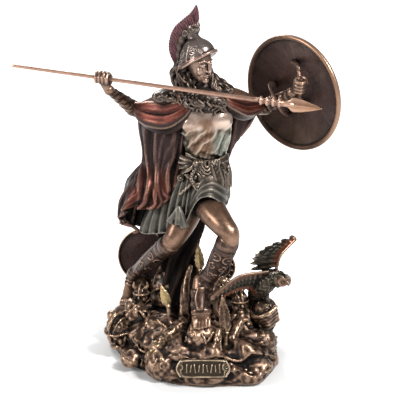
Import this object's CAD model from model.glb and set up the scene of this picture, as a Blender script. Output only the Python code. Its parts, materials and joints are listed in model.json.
"""Bronze-finished statuette of a helmeted warrior goddess with her shield, spear and owl.

Lengths in the tables are millimetres in the row frame: +Z up, the viewer towards -Y, the origin
at the middle of the plinth's underside. "Left" and "right" are the goddess's own.
"""

import json
import math

import bmesh
import bpy
import numpy as np
from mathutils import Matrix, Vector

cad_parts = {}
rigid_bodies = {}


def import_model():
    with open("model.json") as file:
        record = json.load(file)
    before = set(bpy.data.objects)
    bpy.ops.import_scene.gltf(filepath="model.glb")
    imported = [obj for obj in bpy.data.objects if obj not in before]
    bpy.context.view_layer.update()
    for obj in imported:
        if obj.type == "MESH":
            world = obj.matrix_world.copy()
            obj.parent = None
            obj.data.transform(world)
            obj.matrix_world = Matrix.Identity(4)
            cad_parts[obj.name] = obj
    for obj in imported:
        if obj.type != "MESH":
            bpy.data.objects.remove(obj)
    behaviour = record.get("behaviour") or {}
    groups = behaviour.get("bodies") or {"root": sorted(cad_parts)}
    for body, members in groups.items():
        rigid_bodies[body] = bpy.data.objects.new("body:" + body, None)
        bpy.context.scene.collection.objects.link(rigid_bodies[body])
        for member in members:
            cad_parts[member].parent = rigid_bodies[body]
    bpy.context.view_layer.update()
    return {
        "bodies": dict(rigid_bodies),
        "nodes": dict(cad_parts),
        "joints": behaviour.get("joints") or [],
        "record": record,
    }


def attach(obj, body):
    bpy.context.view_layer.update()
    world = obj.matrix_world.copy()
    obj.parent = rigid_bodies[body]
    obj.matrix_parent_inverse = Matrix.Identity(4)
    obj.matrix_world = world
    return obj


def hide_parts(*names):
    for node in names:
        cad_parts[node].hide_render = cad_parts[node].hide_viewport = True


bl_info = {
    "name": "Warrior goddess statuette", "version": (1, 0, 0), "blender": (4, 5, 0),
    "location": "View3D > Sidebar > Statuette",
    "description": "Builds a bronze-finished statuette of a warrior goddess piece by piece",
    "category": "Object"
}

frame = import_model()

MM = 0.001
VIEWER = (0.0, -1.0, 0.0)
UP = (0.0, 0.0, 1.0)
KEPT_FACES = 0.54
FULL_TURN = 6.2832
NEAR_ROUNDS, FAR_ROUNDS = 3, 21
FINE_RELIEF, COARSE_RELIEF = 0.07, 0.5
CLOUD_SCALE, MOTTLE_SCALE, SPECK_SCALE = 140, 520, 2300


def tone(code):
    """A display colour such as 0x6a4c3a as linear red, green and blue"""
    parts = [((code >> shift) & 255) / 255 for shift in (16, 8, 0)]
    return tuple(p / 12.92 if p <= 0.04045 else ((p + 0.055) / 1.055) ** 2.4 for p in parts)


# Turns, curves and skins


def turned(yaw, tilt, size=3):
    """The matrix of a nod by tilt and then a turn by yaw, in degrees"""
    nod = Matrix.Rotation(math.radians(tilt), size, "X")
    return Matrix.Rotation(math.radians(yaw), size, "Z") @ nod


def upright_to(axis):
    """The matrix that turns the upright to an axis"""
    return Vector(UP).rotation_difference(Vector(axis)).to_matrix()


def around(count):
    """The angles of count even steps round a circle"""
    return np.arange(count) / count * FULL_TURN


def unit(vectors):
    vectors = np.asarray(vectors, float)
    return vectors / np.maximum(np.linalg.norm(vectors, axis=-1, keepdims=True), 1e-12)


def spline(rows, t, closed=False):
    """Points at the shares t of a smooth curve through the rows"""
    p = np.asarray(rows, float)
    t = np.atleast_1d(np.asarray(t, float))
    count = len(p)
    if closed:
        s = (t % 1.0) * count
        i = np.floor(s).astype(int)
        a, b, c, d = (p[(i + k) % count] for k in (-1, 0, 1, 2))
    else:
        p = np.vstack([2 * p[0] - p[1], p, 2 * p[-1] - p[-2]])
        s = np.clip(t, 0, 1) * (count - 1)
        i = np.minimum(np.floor(s).astype(int), count - 2)
        a, b, c, d = (p[i + k] for k in range(4))
    w = (s - i)[:, None]
    return b + 0.5 * w * (c - a + w * (2 * a - 5 * b + 4 * c - d + w * (3 * (b - c) + d - a)))


def wrap(bm, rings, tube=False):
    """A closed skin over rings of equally many points; a tube's last ring meets its first"""
    grid = np.asarray(rings, float)
    if tube:
        grid = np.concatenate([grid, grid[:1]])
    else:
        ends = [np.broadcast_to(grid[k].mean(0), grid[k].shape)[None] for k in (0, -1)]
        grid = np.concatenate([ends[0], grid, ends[1]])
    grid = np.concatenate([grid, grid[:, :1]], axis=1)
    rows, columns = grid.shape[:2]
    made = bmesh.ops.create_grid(bm, x_segments=columns - 1, y_segments=rows - 1, size=1.0)
    verts = made["verts"]
    for vert, point in zip(verts, grid.reshape(-1, 3).tolist()):
        vert.co = point
    bmesh.ops.remove_doubles(bm, verts=verts, dist=1e-4)


def limb(bm, rows, sides=20, steps=None, front=VIEWER, shape=None, place=None, loop=False):
    """A limb through rows [x, y, z, half width, half depth]; its depth lies towards front"""
    rows = [list(row) + [row[3]] if len(row) == 4 else list(row) for row in rows]
    if place:
        rows = [[*place(row[:3]), *row[3:]] for row in rows]
    steps = steps or max(10, 7 * len(rows))
    t = np.arange(steps) / steps if loop else np.linspace(0, 1, steps + 1)
    path = spline(rows, t, loop)
    girth = np.maximum(path[:, 3:5], 0.02)
    path = path[:, :3]
    if loop:
        tangent = unit(np.roll(path, -1, 0) - np.roll(path, 1, 0))
    else:
        tangent = unit(np.gradient(path, axis=0))
    across = unit(np.cross(np.broadcast_to(front, path.shape), tangent))
    fore = np.cross(tangent, across)
    angle = np.arange(sides)[None, :] / sides * 2 * math.pi
    swell = shape(angle, t[:, None]) if shape else np.ones((len(t), sides))
    wide = (girth[:, :1] * swell * np.cos(angle))[..., None]
    deep = (girth[:, 1:] * swell * np.sin(angle))[..., None]
    rings = path[:, None] + across[:, None] * wide + fore[:, None] * deep
    if not loop:
        caps = []
        for end, sign in ((0, -1), (-1, 1)):
            reach = girth[end].min()
            for turn in (0.5, 1.0, 1.4):
                shrunk = path[end] + (rings[end] - path[end]) * math.cos(turn)
                caps.append(shrunk + sign * reach * math.sin(turn) * tangent[end])
        rings = np.concatenate([np.array(caps[2::-1]), rings, np.array(caps[3:])])
    wrap(bm, rings, tube=loop)


def bead(bm, points, r, **options):
    """A limb of one thickness through points"""
    limb(bm, [[*p, r] for p in points], **options)


def ball(bm, at, half, yaw=0.0, tilt=0.0, detail=3, place=None):
    """An ellipsoid of three half sizes, turned from the viewer by yaw and nodded by tilt"""
    half = (half,) * 3 if isinstance(half, (int, float)) else half
    at = place(at) if place else at
    matrix = Matrix.Translation(at) @ turned(yaw, tilt, 4) @ Matrix.Diagonal((*half, 1.0))
    bmesh.ops.create_icosphere(bm, subdivisions=detail, radius=1.0, matrix=matrix)


def lathe(bm, profile, centre, axis, steps=72):
    """A round body from its profile [radius, height] along an axis"""
    turn = upright_to(axis).to_4x4()
    matrix = Matrix.Translation(centre) @ turn
    before = len(bm.verts)
    line = [bm.verts.new(matrix @ Vector((r, 0, h))) for r, h in profile]
    edges = [bm.edges.new(pair) for pair in zip(line, line[1:])]
    bmesh.ops.spin(
        bm, geom=line + edges, cent=matrix.translation, axis=turn @ Vector(UP), angle=2 * math.pi,
        steps=steps, use_merge=True
    )
    bmesh.ops.remove_doubles(bm, verts=list(bm.verts)[before:], dist=1e-4)
    bm.verts.index_update()
    many = len(bm.verts)

    def order(face):
        """A full spin leaves its faces in another order each run, so they are put in this one"""
        at = [vert.index for vert in face.verts]
        return (min(at) * many + max(at)) * 4 * many + sum(at)

    bm.faces.sort(key=order)


def block(bm, at, size, tilt=0.0, push=0.0):
    """A box of three full sizes, nodded by tilt, and pushed towards the viewer after the nod"""
    turn = Matrix.Rotation(math.radians(tilt), 4, "X")
    matrix = Matrix.Translation(at) @ turn @ Matrix.Translation((0, -push, 0))
    bmesh.ops.create_cube(bm, size=1.0, matrix=matrix @ Matrix.Diagonal((*size, 1.0)))


def sheet(bm, grid, thickness):
    """A cloth or feather of even thickness over a grid of points"""
    grid = np.asarray(grid, float)
    normal = unit(np.cross(np.gradient(grid, axis=0), np.gradient(grid, axis=1)))
    half = 0.5 * thickness * normal
    rings = np.concatenate([grid + half, (grid - half)[:, ::-1]], axis=1)
    flat = np.concatenate([grid, grid[:, ::-1]], axis=1)
    wrap(bm, np.concatenate([flat[:1], rings, flat[-1:]]))


def draped(net, across, down, fold):
    """A grid over a net of control points, each row a rail, folded outwards by fold(u, v)"""
    u = np.linspace(0, 1, across + 1)
    v = np.linspace(0, 1, down + 1)
    rails = np.array([spline(row, u) for row in net])
    grid = np.stack([spline(rails[:, j], v) for j in range(across + 1)], axis=1)
    out = unit(np.cross(np.gradient(grid, axis=1), np.array(UP)))
    return grid + out * fold(u[None, :], v[:, None])[..., None]


def ridged(phase, power=1.0):
    """Ridges with narrow valleys, 0 to 1, one to each whole number of the phase"""
    return (1 - np.abs(2 * (phase % 1.0) - 1)) ** power


TABLE = np.random.RandomState(11).rand(32, 32, 32) * 2 - 1


def lumps(p, cell, seed=0):
    """Smooth random lumps from -1 to 1, one or so to each cell"""
    q = p / cell + seed * 5.37
    i = np.floor(q).astype(int)
    f = q - i
    f = f * f * (3 - 2 * f)
    total = 0
    for corner in range(8):
        step = [(corner >> k) & 1 for k in range(3)]
        weight = np.prod([f[:, k] if step[k] else 1 - f[:, k] for k in range(3)], axis=0)
        a, b, c = ((i[:, k] + step[k]) % 32 for k in range(3))
        total = total + weight * TABLE[a, b, c]
    return total


# Finished pieces


def placed(name, data):
    """A new object in the scene"""
    made = bpy.data.objects.new(name, data)
    bpy.context.scene.collection.objects.link(made)
    return made


def vertex_data(mesh):
    """The places in millimetres and the normals of a mesh's vertices"""
    co = np.empty(len(mesh.vertices) * 3, np.float32)
    no = np.empty(len(mesh.vertices) * 3, np.float32)
    mesh.vertices.foreach_get("co", co)
    mesh.vertex_normals.foreach_get("vector", no)
    return co.reshape(-1, 3).astype(float) / MM, no.reshape(-1, 3).astype(float)


def set_attribute(mesh, name, values):
    attribute = mesh.attributes.new(name, "FLOAT", "POINT")
    attribute.data.foreach_set("value", np.asarray(values, np.float32))


def mark_wear(mesh):
    """Attributes edge and depth: how far each point stands out of its near and far surroundings"""
    co, no = vertex_data(mesh)
    pairs = np.empty(len(mesh.edges) * 2, np.int32)
    mesh.edges.foreach_get("vertices", pairs)
    i, j = pairs.reshape(-1, 2).T
    count = len(co)
    degree = np.maximum(np.bincount(i, minlength=count) + np.bincount(j, minlength=count), 1)

    def relaxed(p, rounds):
        for _ in range(rounds):
            sums = [
                np.bincount(i, p[j, k], count) + np.bincount(j, p[i, k], count) for k in range(3)
            ]
            p = np.stack(sums, 1) / degree[:, None]
        return p

    near = relaxed(co, NEAR_ROUNDS)
    far = relaxed(near, FAR_ROUNDS)
    for name, even, full in (("edge", near, FINE_RELIEF), ("depth", far, COARSE_RELIEF)):
        set_attribute(mesh, name, np.clip(((co - even) * no).sum(1) / full, -1, 1))


def baked(piece):
    """The piece's mesh, with its modifiers worked in"""
    graph = bpy.context.evaluated_depsgraph_get()
    mesh = bpy.data.meshes.new_from_object(piece.evaluated_get(graph))
    piece.modifiers.clear()
    raw, piece.data = piece.data, mesh
    name = raw.name
    bpy.data.meshes.remove(raw)
    mesh.name = name
    mesh.validate()
    return mesh


def cast(
    name, bm, material, nodes=("goddess",), voxel=0.42, soften=2, relief=None,
    wash=None, glow=None
):
    """The finished piece: one casting by voxels where voxel is given, then carved by relief"""
    bmesh.ops.recalc_face_normals(bm, faces=bm.faces)
    bmesh.ops.scale(bm, vec=(MM,) * 3, verts=bm.verts)
    mesh = bpy.data.meshes.new(name)
    bm.to_mesh(mesh)
    bm.free()
    piece = placed(name, mesh)
    if voxel:
        remesh = piece.modifiers.new("Cast", "REMESH")
        remesh.mode = "VOXEL"
        remesh.voxel_size = voxel * MM
        smooth = piece.modifiers.new("Soften", "SMOOTH")
        smooth.factor = 0.5
        smooth.iterations = soften
        mesh = baked(piece)
    if relief:
        co, no = vertex_data(mesh)
        moved = (co + no * relief(co, no)[:, None]) * MM
        mesh.vertices.foreach_set("co", moved.astype(np.float32).ravel())
        mesh.update()
    mark_wear(mesh)
    co, no = vertex_data(mesh)
    for attribute, value in (("wash", wash), ("glow", glow)):
        set_attribute(mesh, attribute, value(co, no) if value else np.zeros(len(co)))
    if voxel:
        lighten = piece.modifiers.new("Lighten", "DECIMATE")
        lighten.ratio = KEPT_FACES
        mesh = baked(piece)
    mesh.shade_smooth()
    mesh.materials.append(material)
    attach(piece, "root")
    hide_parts(*nodes)
    return piece


def spot(p, centre, reach):
    """A soft spot: 1 at its centre, fading over its three reaches"""
    return np.exp(-(((p - centre) / reach) ** 2).sum(1))


def gaps(p, line):
    """The distance of each point to each point of a line"""
    return np.linalg.norm(p[:, None] - line[None], axis=2)


def ramp(x, low, high):
    """0 below low, 1 above high, smooth in between; low may be the greater"""
    t = np.clip((x - low) / (high - low), 0, 1)
    return t * t * (3 - 2 * t)


# Materials


class Wire:
    """A shader value that can be added, scaled and compared as a number is"""

    def __init__(self, paint, socket):
        self.paint = paint
        self.socket = socket

    def _math(self, operation, *values):
        return self.paint.node("ShaderNodeMath", {"operation": operation}, dict(enumerate(values)))

    def __add__(self, other):
        return self._math("ADD", self, other)

    def __sub__(self, other):
        return self._math("SUBTRACT", self, other)

    def __rsub__(self, other):
        return self._math("SUBTRACT", other, self)

    def __mul__(self, other):
        return self._math("MULTIPLY", self, other)

    __radd__ = __add__
    __rmul__ = __mul__

    def clamped(self):
        settings = {"operation": "ADD", "use_clamp": True}
        return self.paint.node("ShaderNodeMath", settings, {0: self, 1: 0.0})

    def span(self, low, high):
        """0 at low, 1 at high, clamped"""
        sockets = {"Value": self, "From Min": low, "From Max": high}
        return self.paint.node("ShaderNodeMapRange", {"clamp": True}, sockets)


class Paint:
    """A procedural material and its nodes"""

    def __init__(self, name):
        self.material = bpy.data.materials.new(name)
        self.material.use_nodes = True
        self.tree = self.material.node_tree
        self.shader = self.tree.nodes["Principled BSDF"]
        self.place = self.node("ShaderNodeTexCoord", out="Object")

    def node(self, kind, settings=None, sockets=None, out=0):
        made = self.tree.nodes.new(kind)
        for key, value in (settings or {}).items():
            setattr(made, key, value)
        self.plug(made, sockets or {})
        return Wire(self, made.outputs[out])

    def plug(self, made, sockets):
        for key, value in sockets.items():
            if isinstance(value, Wire):
                self.tree.links.new(value.socket, made.inputs[key])
            else:
                made.inputs[key].default_value = value

    def noise(self, scale, detail, rough=0.55):
        sockets = {"Vector": self.place, "Scale": scale, "Detail": detail, "Roughness": rough}
        return self.node("ShaderNodeTexNoise", {}, sockets, out="Fac")

    def attribute(self, name):
        return self.node("ShaderNodeAttribute", {"attribute_name": name}, out="Fac")

    def mix(self, factor, first, second):
        first, second = (
            v if isinstance(v, Wire) else (*tuple(v)[:3], 1.0) for v in (first, second)
        )
        sockets = {0: factor, 6: first, 7: second}
        return self.node("ShaderNodeMix", {"data_type": "RGBA"}, sockets, out=2)

    def finish(self, **sockets):
        self.plug(self.shader, {key.replace("_", " "): value for key, value in sockets.items()})
        return self.material


def pigment(value):
    """A colour from its display code or from the name of its setting"""
    return getattr(colours(), value) if isinstance(value, str) else tone(value)


def bronze(
    name, body, bright, dark="recess", wash=None, glow=None, rough=0.36, metal=0.75, fleck=0.4,
    gleam=0.85, shade=1.0, bump=0.25, reach=4.5, specular=0.5, tints=()
):
    """Painted cast metal: dark recesses, a body colour with washes, and dry-brushed edges"""
    body, bright, dark = (pigment(value) for value in (body, bright, dark))
    paint = Paint(name)
    edge = paint.attribute("edge")
    depth = paint.attribute("depth")
    cloud = paint.noise(CLOUD_SCALE, 4)
    mottle = paint.noise(MOTTLE_SCALE, 4, 0.65)
    speck = paint.noise(SPECK_SCALE, 2, 0.6)
    open_air = paint.node(
        "ShaderNodeAmbientOcclusion", {"samples": 6}, {"Distance": reach * MM}, out="AO"
    )
    colour = paint.mix(cloud.span(0.35, 0.68) * 0.6, body, [c * 0.5 for c in body])
    for axis, low, high, tint, strength in tints:
        parts = paint.node("ShaderNodeSeparateXYZ", {}, {0: paint.place}, out=axis)
        wander = parts + (mottle - 0.5) * (0.25 * abs(high - low) * MM)
        colour = paint.mix(wander.span(low * MM, high * MM) * strength, colour, pigment(tint))
    if wash:
        colour = paint.mix(paint.attribute("wash").clamped(), colour, pigment(wash))
    if glow:
        colour = paint.mix(paint.attribute("glow").clamped(), colour, pigment(glow))
    low = (1 - open_air) * (1.35 * shade) + depth * (-0.6 * shade) + (mottle - 0.5) * 0.7
    colour = paint.mix(low.span(-0.04, 0.62), colour, dark)
    lit = edge * 0.35 + depth * 0.6 + (speck - 0.5) * fleck + (mottle - 0.5) * (0.4 + fleck)
    colour = paint.mix(lit.span(0.16, 1.1) * gleam, colour, bright)
    roughness = rough + (mottle - 0.5) * 0.3 + low.span(0.1, 0.9) * 0.25
    grain = mottle * 0.6 + speck * 0.4
    normal = paint.node(
        "ShaderNodeBump", {}, {"Strength": bump, "Distance": 0.25 * MM, "Height": grain}, out=0
    )
    return paint.finish(
        Base_Color=colour, Roughness=roughness, Metallic=metal, Normal=normal,
        Specular_IOR_Level=specular
    )


# Settings that a user would change


def colour_prop(name, description, code):
    return bpy.props.FloatVectorProperty(
        name=name, description=description, default=tone(code), size=3, subtype="COLOR", min=0,
        max=1
    )


def size_prop(name, description, default, low, high):
    return bpy.props.FloatProperty(
        name=name, description=description, default=default * MM, min=low * MM, max=high * MM,
        subtype="DISTANCE", unit="LENGTH", precision=5
    )


class StatuetteSizes(bpy.types.PropertyGroup):
    """Sizes of the carving"""

    fine: size_prop("Fine grain", "Voxel size of the face and the hands", 0.24, 0.15, 1)
    carving: size_prop("Carving grain", "Voxel size of the dress and the trophies", 0.42, 0.3, 2)
    rough: size_prop("Rock grain", "Voxel size of the rock", 0.55, 0.4, 3)
    cloth: size_prop("Cloth thickness", "Thickness of the cloak and the skirt", 1.5, 0.8, 3)
    pleats: bpy.props.IntProperty(
        name="Pleats", description="Pleats round the skirt", default=34, min=6, max=60
    )
    folds: bpy.props.IntProperty(
        name="Cloak folds", description="Folds across the cloak", default=11, min=3, max=20
    )
    locks: bpy.props.IntProperty(
        name="Crest locks", description="Combed locks of the crest", default=26, min=6, max=60
    )


class StatuetteColours(bpy.types.PropertyGroup):
    """Colours of the painted bronze"""

    recess: colour_prop("Recess", "Dark patina in the hollows", 0x0D0907)
    skin: colour_prop("Skin", "Bronze of the arms, legs and face", 0x6A503F)
    skin_light: colour_prop("Skin highlight", "Dry-brushed highlight of the skin", 0xC9A48C)
    gold: colour_prop("Gold", "Frame and strokes of the plaque", 0xD9C2A4)
    silver: colour_prop("Silver", "Highlights of the tunic and the helmet", 0xB5A999)
    tunic: colour_prop("Tunic", "Grey-green cloth of the bodice", 0x857B6D)
    belly: colour_prop("Golden wash", "Golden bronze of the belly", 0x664834)
    cloak: colour_prop("Cloak", "Grey-mauve cloth of the cloak", 0x302423)
    red: colour_prop("Red wash", "Copper red of the cloak's front hem", 0x4C2318)
    crest: colour_prop("Crest", "Burgundy of the crest", 0x4C1E24)
    spear: colour_prop("Spear", "Rosy copper of the spear", 0x9A7766)
    shield: colour_prop("Shield", "Chocolate bronze of the shield", 0x64504A)
    feather: colour_prop("Feather", "Green-black bronze of the owl", 0x2D2A22)
    rock: colour_prop("Rock", "Bronze of the rocky plinth", 0x4B382E)
    floor: colour_prop("Floor", "Plain studio floor", 0xC4C4C4)


def sizes():
    return bpy.context.scene.statuette_sizes


def colours():
    return bpy.context.scene.statuette_colours


# Hands, arms and legs

SPEAR_LINE = unit([156.7, -44, -12])
GRIP_LINE = unit([0.1, -0.25, 0.96])
RIGHT_HAND = np.array([-44.1, 0.6, 152.6])
LEFT_HAND = np.array([55.4, -1, 149.4])

RIGHT_ARM = [
    [-6, 0, 141, 6.4], [-13, 3, 139.6, 5.6], [-21, 9.6, 135.4, 4.6], [-27.4, 13.6, 132.6, 4],
    [-32, 10.4, 136.6, 3.5], [-37.6, 4.2, 142.8, 2.6], [-41.4, -0.4, 147, 2.2],
    [-43, -0.4, 149.6, 2.4]
]
LEFT_ARM = [
    [16, 1, 142, 6.4], [23, 4, 141.4, 5.4], [31, 10, 137.4, 4.5], [37.4, 13, 134.2, 4],
    [42, 10.4, 137, 3.8], [47.6, 5.4, 141.4, 3.1], [52, 1.2, 145.4, 2.3], [54, -0.4, 147.4, 2.4]
]
LEFT_LEG = [
    [8.4, -1, 95, 8.2, 8.2], [8.6, -8, 90, 7.7, 7.6], [12, -16.2, 86.2, 7, 7],
    [16.4, -22.6, 82.2, 6.1, 6.2], [19.9, -25.6, 78.2, 5.3, 5.7], [18.6, -25, 72.6, 5.3, 5.6],
    [15.4, -21.8, 64, 5.3, 5.4], [11.6, -18.4, 55.4, 4.2, 4.3], [8.6, -16.6, 49.8, 3.8, 3.9],
    [6.4, -18, 45, 4.4, 4.2]
]
RIGHT_LEG = [
    [1, 0, 92, 8.6, 8.6], [-3, -5, 80, 7.2, 7.2], [-9, -8.6, 68.8, 5.2, 5.4],
    [-15.4, -2.4, 61, 4.5, 4.7], [-21.6, 5.4, 53, 4.1, 4.4], [-27.6, 13, 45, 3.1, 3.3],
    [-31.4, 17, 39.4, 3, 3.5], [-33.4, 16.6, 33.4, 2.6, 3], [-34.6, 15.4, 28.8, 2.9, 2.4],
    [-35.4, 14, 25.2, 2.3, 1.4]
]


def fist(bm, at, along, knuckles, size=1.0):
    """A fist closed round a line: palm, four fingers that wrap it and a thumb"""
    along = unit(along)
    out = unit(np.array(knuckles) - np.dot(knuckles, along) * along)
    rest = np.cross(along, out)

    def in_hand(p):
        return at + size * (p[0] * along + p[1] * out + p[2] * rest)

    def part(rows, front, **options):
        rows = [row + [row[3]] if len(row) == 4 else row for row in rows]
        rows = [[*row[:3], row[3] * size, row[4] * size] for row in rows]
        limb(bm, rows, place=in_hand, front=front, **options)

    part(
        [
            [-3.2, 0.2, -1.2, 1.7, 1.8], [-1.8, 0.4, -1.4, 2.4, 2.2], [1.8, 0.4, -1.4, 2.4, 2.2],
            [3.2, 0.2, -1.2, 1.7, 1.8]
        ], rest
    )
    ball(bm, in_hand([2.3, 0.3, 0.4]), 2.1 * size)
    for a, reach in ((-2.85, 0.92), (-0.95, 1.04), (0.95, 1.06), (2.85, 0.98)):
        part(
            [
                [a, 1.2, -2.5, 0.86], [a, 3.1 * reach, -0.9, 1.08], [a, 3.2 * reach, 0.8, 0.88],
                [a, 2.5 * reach, 2.2, 1.0], [a, 0.6, 2.9, 0.84], [a, -1, 2.3, 0.78]
            ], along, sides=14
        )
    part(
        [
            [3.4, -0.6, -1.6, 1.1], [3.9, -1.6, 0.6, 1.1], [3, -1.9, 2.4, 0.95],
            [1.6, -1.2, 3.4, 0.8]
        ], along, sides=14
    )


def toes(bm, rows):
    for x, y, z, x2, y2, z2, r in rows:
        middle = [(x + x2) / 2, (y + y2) / 2 - 0.3, (z + z2) / 2 + 0.5, r * 1.05]
        limb(bm, [[x, y, z, r * 0.95], middle, [x2, y2, z2, r * 0.9]], sides=14, front=UP)


def build_skin():
    bm = bmesh.new()
    muscle = lambda angle, t: 1 + 0.05 * np.sin(2 * angle + 6 * t)
    limb(bm, RIGHT_ARM, sides=32, steps=70, front=UP, shape=muscle)
    limb(bm, LEFT_ARM, sides=32, steps=70, front=UP, shape=muscle)
    fist(bm, RIGHT_HAND, SPEAR_LINE, (-0.5, -0.5, 0.7))
    fist(bm, LEFT_HAND, GRIP_LINE, (-0.3, -0.9, 0.3), 0.95)
    calf = lambda angle, t: 1 + 0.05 * np.cos(2 * angle + 1) * np.sin(9 * t)
    limb(bm, LEFT_LEG, sides=36, steps=90, shape=calf)
    limb(bm, RIGHT_LEG, sides=36, steps=90, front=(-0.5, -0.6, -0.6), shape=calf)
    ball(bm, [20.2, -26.8, 79.4], [4.4, 4.1, 4.8])
    foot = [
        [6, -16.4, 50, 4.4, 3.2], [5.6, -18.4, 46, 4.6, 3.6], [5.4, -21, 41, 4.4, 3.5],
        [5.6, -24.8, 36, 4.6, 2.8], [6, -27.4, 32.4, 4.2, 1.7]
    ]
    limb(bm, foot, sides=28, steps=40)
    toes(
        bm,
        [
            [
                6 + i * 1.7, -26, 33.4, 6.2 + i * 1.8, -30.2, 28.6 + abs(i + 1) * 0.45,
                1.06 - 0.06 * i
            ] for i in (-2, -1, 0, 1, 2)
        ]
    )
    toes(
        bm,
        [
            [-35 + i * 1.1, 14.2 - i * 0.5, 27.2, -36 + i * 1.25, 12.4 - i * 0.5, 24.2, 0.8]
            for i in (-2, -1, 0, 1, 2)
        ]
    )
    neck = [[5.4, 1, 146, 5.2, 5], [5.6, 0, 150, 4.3, 4.3], [5.8, -2, 155, 4.2, 4.4]]
    limb(bm, neck, sides=28, steps=24)
    hands = [("X", -37, -41, 0x4A3C36, 0.68), ("X", 46, 51, 0x493A32, 0.6)]
    cast(
        "skin", bm,
        bronze("skin_bronze", "skin", "skin_light", tints=hands, gleam=0.55, rough=0.34, reach=9),
        voxel=0.4
    )


# Face and hair

HEAD_AT = np.array([4.4, -5.2, 162.0])
HEAD_YAW = 46
HEAD_TILT = 10
HEAD_TURN = np.array(turned(HEAD_YAW, HEAD_TILT))


def on_head(p):
    """A place on the head, whose face looks along its own -Y"""
    return HEAD_AT + HEAD_TURN @ np.array(p, float)


def build_face():
    bm = bmesh.new()
    turn = {"place": on_head, "yaw": HEAD_YAW, "tilt": HEAD_TILT}
    ball(bm, [0, 0.8, 1.6], [6.1, 7.2, 7.9], **turn)
    ball(bm, [0, -1.8, -2], [5.1, 5, 6.6], **turn)
    ball(bm, [0, -3.4, -5.8], [3.7, 3.3, 2.8], **turn)
    ball(bm, [0, -6, -7.5], [1.8, 1.6, 1.6], **turn)
    for side in (-1, 1):
        ball(bm, [side * 2.8, -4.3, -2.6], [2.1, 1.8, 2.6], **turn)
        ball(bm, [side * 1.8, -4.7, -4.7], [1.8, 1.5, 2], **turn)
        ball(bm, [side * 2.5, -5.2, 0.5], [1.5, 1.3, 1.15], **turn)
        brow = [[side * 0.8, -6.5, 2.3], [side * 2.6, -6, 3], [side * 4.6, -4.6, 2.2]]
        bead(bm, brow, 0.5, place=on_head, front=UP, sides=12)
        lid = [[side * 1.1, -6.2, 0.7], [side * 2.6, -6.55, 1.3], [side * 4.1, -5.2, 0.6]]
        bead(bm, lid, 0.28, place=on_head, front=UP, sides=10)
        under = [[side * 1.3, -6.1, 0.3], [side * 2.6, -6.3, -0.35], [side * 4, -5.2, 0.3]]
        bead(bm, under, 0.24, place=on_head, front=UP, sides=10)
        ball(bm, [side * 0.9, -7.1, -2.3], [0.6, 0.7, 0.55], **turn)
    nose = [
        [0, -6.5, 2.4, 0.75, 0.8], [0, -7.3, 0.9, 0.75, 0.85], [0, -7.9, -0.9, 0.8, 0.9],
        [0, -8.2, -1.9, 0.9, 0.8], [0, -7.5, -2.6, 0.8, 0.6]
    ]
    limb(bm, nose, place=on_head, front=(1, 0, 0), sides=16)
    upper = [
        [-1.6, -6.3, -4.9], [-0.6, -7.1, -4.4], [0, -7.1, -4.5], [0.6, -7.1, -4.4],
        [1.6, -6.3, -4.9]
    ]
    bead(bm, upper, 0.42, place=on_head, front=UP, sides=12, steps=24)
    lower = [[-1.3, -6.4, -5.2, 0.4], [0, -7, -5.5, 0.56], [1.3, -6.4, -5.2, 0.4]]
    limb(bm, lower, place=on_head, front=UP, sides=12, steps=20)
    cast(
        "face", bm,
        bronze(
            "face_bronze", 0x80695C, 0xD6BBA9, gleam=0.8, rough=0.3, fleck=0.3, bump=0.08,
            reach=2.5, shade=0.7
        ), voxel=sizes().fine / MM, soften=3
    )


HAIR = [
    [[-3.4, -4, 161, 2.2], [-4.6, -4.5, 157, 2.6], [-3.6, -6, 152.6, 2.6], [-0.6, -8, 149, 1.8]],
    [[-4.5, 0, 160.5, 2.6], [-8, 0, 155, 2.6], [-6.4, -2, 149.5, 2.2], [-3, -6, 145.6, 1.5]],
    [[1, 5, 162, 5], [1, 8, 155, 5], [3, 9, 147, 4.4], [4, 9, 140, 2.4]],
    [
        [7.4, 3, 159, 2.6], [9.4, 2, 154.6, 2.6], [13, 0, 151.2, 2.5], [17.6, -1.5, 149.6, 2],
        [21.4, -2, 147, 1.2]
    ], [[8.8, -2, 157, 1.8], [11, -4.4, 153, 2], [12, -6, 150, 2], [15.4, -7, 148, 1.3]],
    [[6.6, 6, 157, 3], [11, 6, 151.6, 2.8], [17, 6, 148, 2.2], [21, 5, 144.6, 1.2]]
]


def lock(bm, rows, strands=5, twist=3.5, wave=1.0):
    """A lock of hair as wavy strands wound loosely round its middle line"""
    t = np.linspace(0, 1, 19)
    path = spline(rows, t)
    tangent = unit(np.gradient(path[:, :3], axis=0))
    across = unit(np.cross(tangent, (0.3, 0.8, 0.5)))
    fore = np.cross(tangent, across)
    for strand in range(strands):
        start = 2 * math.pi * strand / strands
        angle = (start + twist * t)[:, None]
        sway = (0.4 * wave * np.sin(13 * t + 2.4 * start))[:, None]
        off = (across * (np.cos(angle) + sway) + fore * np.sin(angle)) * path[:, 3:4] * 0.6
        limb(bm, np.hstack([path[:, :3] + off, path[:, 3:4] * 0.42]).tolist(), sides=12, steps=46)


def build_hair():
    bm = bmesh.new()
    for index, rows in enumerate(HAIR):
        lock(bm, rows, strands=5 if rows[0][3] < 4 else 9, twist=3 + 0.4 * index)
    curl = [
        [-2.4, -8.4, 160.6, 0.8], [-4.6, -8, 160.4, 1], [-6.4, -7, 158, 1.1], [-5, -8, 154.8, 1],
        [-2, -9.4, 152.8, 0.9]
    ]
    lock(bm, curl, strands=3, twist=3)
    nape = [[0.4, -3, 157, 3], [-0.4, -4, 153, 3.2], [2, -4, 149, 3]]
    lock(bm, nape, strands=5, twist=2)
    cast("hair", bm, bronze("hair_bronze", 0x3A2E27, 0x7E6D60, gleam=0.6), voxel=0.3, soften=1)


# Helmet, crest and collar

HELMET_AT = np.array([3.4, -3.0, 165.4])
HELMET_YAW = math.radians(55)
HELMET_RISE = 0.46


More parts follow.
